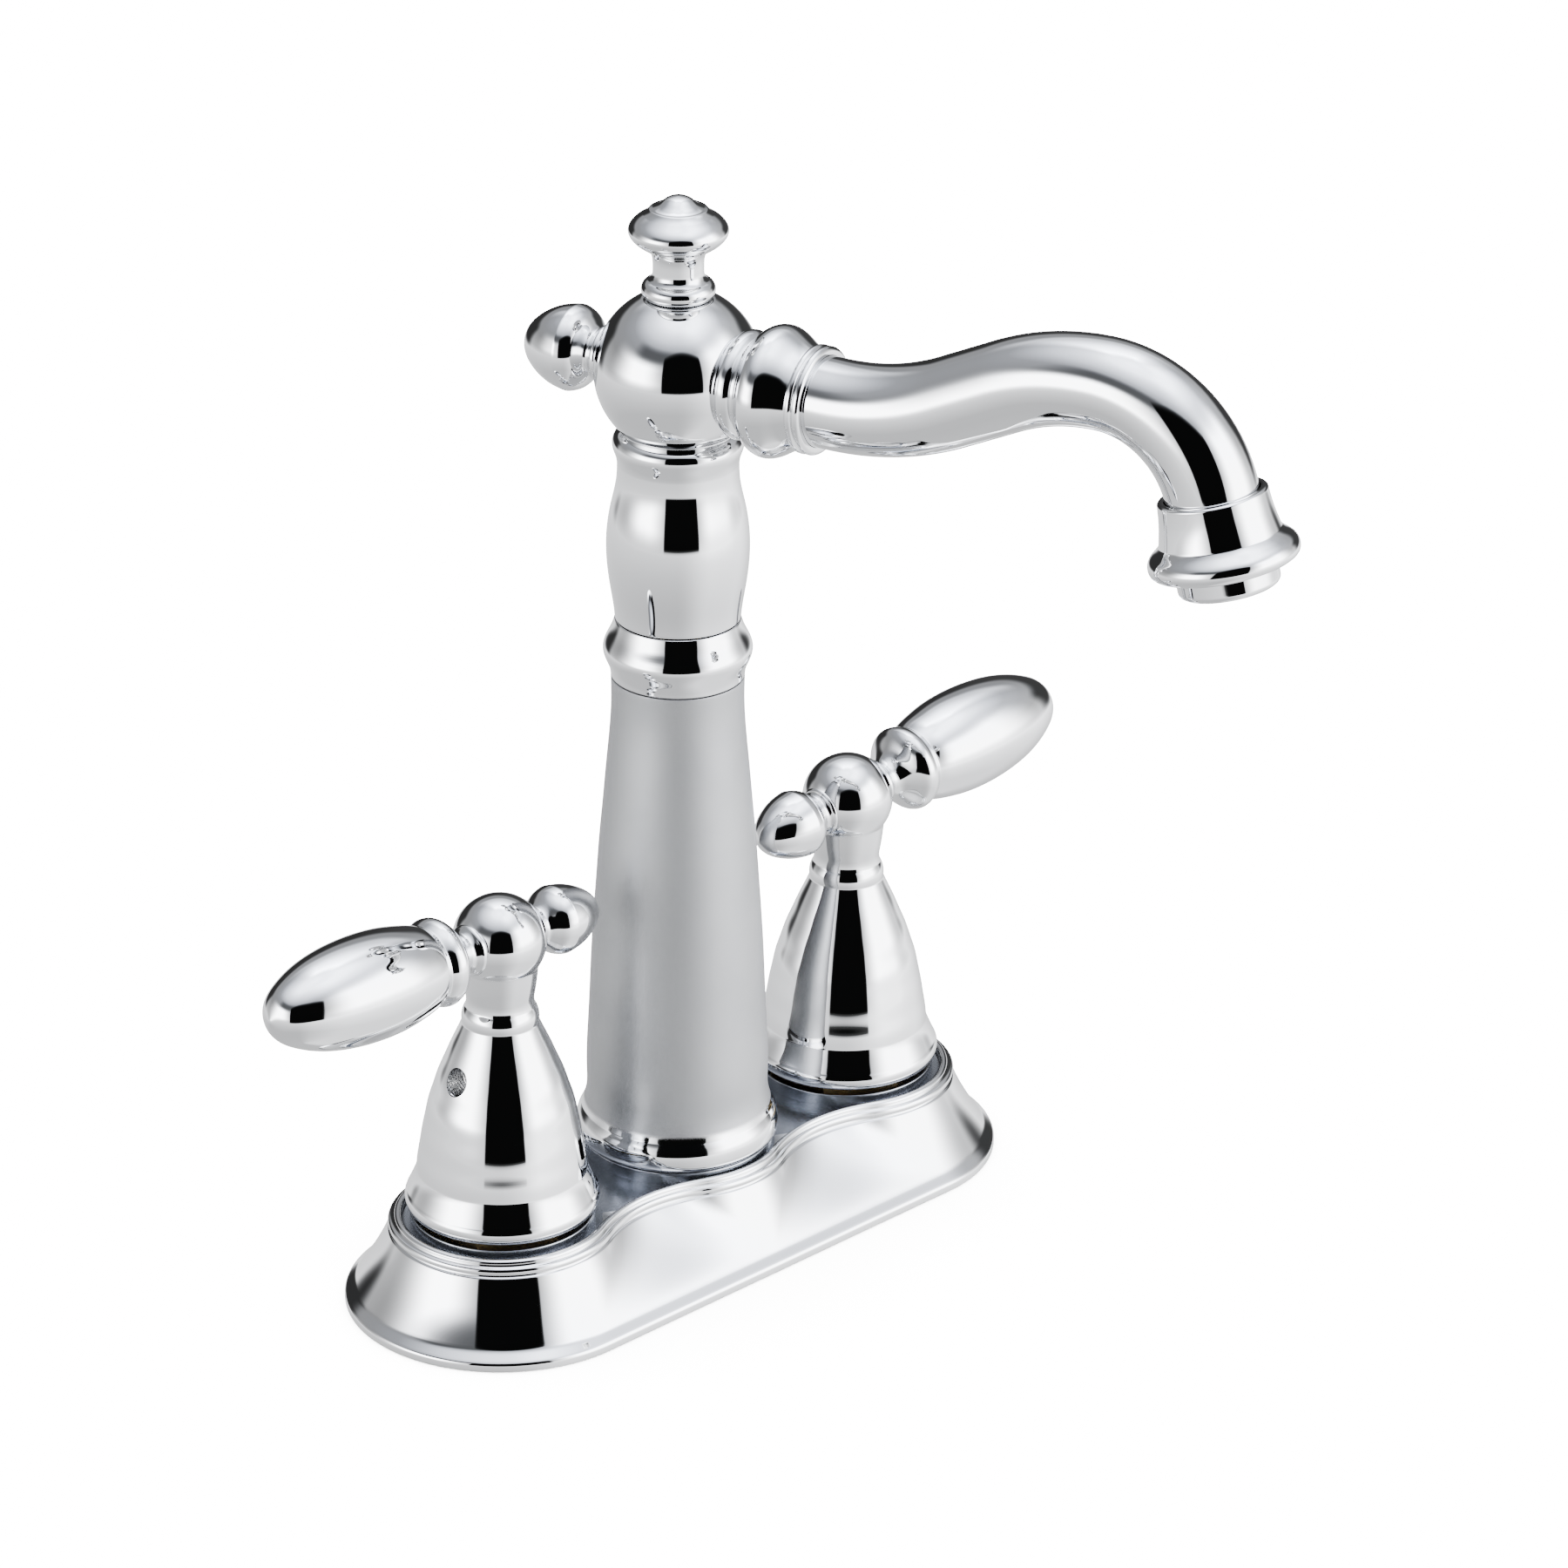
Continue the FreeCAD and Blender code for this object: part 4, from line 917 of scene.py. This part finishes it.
# brightness all round at each elevation, from the floor up to the ceiling
allRound = {-90: 1.07, -60: 1.0, -42: 1.02, -25: 1.4, -12: 1.9, -4: 0.9, 15: 0.45, 30: 0.48, 42: 0.62,
            50: 1.2, 56: 1.9, 66: 3.2, 76: 5.5, 90: 7.0}

# what stands round the object: left and right (from the camera's azimuth), low and high, the softness of
# the side edges and of the other two, how it is laid over what is there, and its brightness
surroundings = {"brighterSide": (28, 142, -90, 75, 62, 20, "times", 2.1),
                "back": (150, 214, 32, 74, 24, 10, "times", 3.2),
                "backLow": (160, 206, 4, 34, 16, 12, "mix", 0.45),
                "backDark": (-184, -124, -9, 17, 14, 10, "mix", 0.045),
                "backRightDark": (128, 184, -6, 19, 16, 12, "mix", 0.07),
                "leftBox": (-84, -26, -6, 26, 46, 16, "mix", 13.0),
                "rightBox": (42, 102, -8, 44, 34, 24, "mix", 12.0),
                "bandLeft": (-66, 4, 29, 43, 24, 10, "mix", 0.16),
                "cameraGap": (-21, 34, -10, 43, 2.5, 3, "gap", 0.005)}


def floorPlane():
    mesh = bpy.data.meshes.new("floor")
    s, z, tone = studio["floorSize"] / 2, -studio["floorDrop"], studio["floorTone"]
    mesh.from_pydata([(-s, -s, z), (s, -s, z), (s, s, z), (-s, s, z)], [], [(0, 1, 2, 3)])
    obj = bpy.data.objects.new("floor", mesh)
    f = Finish("paleFloor")
    obj.data.materials.append(f.put(Base_Color=(tone, tone, tone, 1), Roughness=0.9, Specular_IOR_Level=0.0))
    bpy.context.scene.collection.objects.link(obj)
    obj.visible_glossy = False


def softStep(value, soft):
    # 0 below -soft/2, 1 above soft/2
    t = np.clip(value / soft + 0.5, 0, 1)
    return t * t * (3 - 2 * t)


def brightnessAt(az, el):
    # the even brightness of each elevation, then every thing mixed over it in stops of light
    value = np.interp(el, list(allRound), np.log(list(allRound.values())))
    archDrop, archSoft = 9, 9
    for left, right, low, high, softAz, softEl, way, strength in surroundings.values():
        reach = (right - left) / 2
        off = (az - (left + right) / 2 + 180) % 360 - 180
        mask = softStep(reach - np.abs(off), softAz) * softStep(el - low, softEl)
        if way == "gap":
            # its top edge is an arch that fades upwards
            mask = mask * softStep(high - archDrop * (off / reach) ** 2 - el, archSoft)
        else:
            mask = mask * softStep(high - el, softEl)
        value = value + mask * (math.log(strength) if way == "times" else math.log(strength) - value)
    return np.exp(value)


def surroundingsDome():
    # a ball round the object that only the polished metal sees, each point with its own brightness
    az, el = np.meshgrid(np.arange(-180, 180), np.arange(-90, 91))
    a, e = np.radians(view["azimuth"] + az), np.radians(el)
    rows = np.stack([np.sin(a) * np.cos(e), -np.cos(a) * np.cos(e), np.sin(e)], -1) * studio["domeRadius"]
    obj = meshFrom("surroundings", *skinOf((rows + [0, 0, studio["domeHeight"]]) / mm))
    cool = np.clip((el - studio["coolFrom"]) / studio["coolOver"], 0, 1)[..., None]
    tone = (1 - cool) * studio["neutral"] + cool * studio["cool"]
    colour = np.concatenate([tone * brightnessAt(az, el)[..., None], np.ones((*az.shape, 1))], -1)
    # the mesh keeps one point for the row at each pole
    colour = np.concatenate([colour[0, :1], colour[1:-1].reshape(-1, 4), colour[-1, :1]])
    obj.data.attributes.new("light", "FLOAT_COLOR", "POINT").data.foreach_set("color", colour.ravel())
    made = bpy.data.materials.new("surroundings")
    made.use_nodes = True
    tree = made.node_tree
    tree.nodes.clear()
    light = tree.nodes.new("ShaderNodeAttribute")
    light.attribute_name = "light"
    glow = tree.nodes.new("ShaderNodeEmission")
    out = tree.nodes.new("ShaderNodeOutputMaterial")
    tree.links.new(light.outputs["Color"], glow.inputs["Color"])
    tree.links.new(glow.outputs[0], out.inputs["Surface"])
    obj.data.materials.append(made)
    obj.visible_camera = obj.visible_shadow = obj.visible_diffuse = False


def lightWorld():
    # the world lights the floor evenly and stays out of the metal, which mirrors the dome instead
    world = bpy.data.worlds.new("softStudio")
    bpy.context.scene.world = world
    world.use_nodes = True
    world.cycles_visibility.glossy = False
    background = world.node_tree.nodes["Background"]
    background.inputs["Color"].default_value = (1, 1, 1, 1)
    background.inputs["Strength"].default_value = studio["worldStrength"]


def placeCamera():
    # the camera looks along -back; the roll turns right and up about it
    a, e, w = (math.radians(view[k]) for k in ("azimuth", "elevation", "roll"))
    back = Vector((math.sin(a) * math.cos(e), -math.cos(a) * math.cos(e), math.sin(e)))
    right = Vector((math.cos(a), math.sin(a), 0))
    up = back.cross(right)
    axes = (math.cos(w) * right + math.sin(w) * up, math.cos(w) * up - math.sin(w) * right, back)
    camera = bpy.data.objects.new("camera", bpy.data.cameras.new("camera"))
    bpy.context.scene.collection.objects.link(camera)
    camera.matrix_world = Matrix.Translation(view["place"]) @ Matrix(axes).transposed().to_4x4()
    camera.data.lens, camera.data.sensor_width = view["lens"], view["sensor"]
    camera.data.clip_start, camera.data.clip_end = view["near"], view["far"]
    bpy.context.scene.camera = camera


floorPlane()
surroundingsDome()
lightWorld()
placeCamera()
print("studio made")
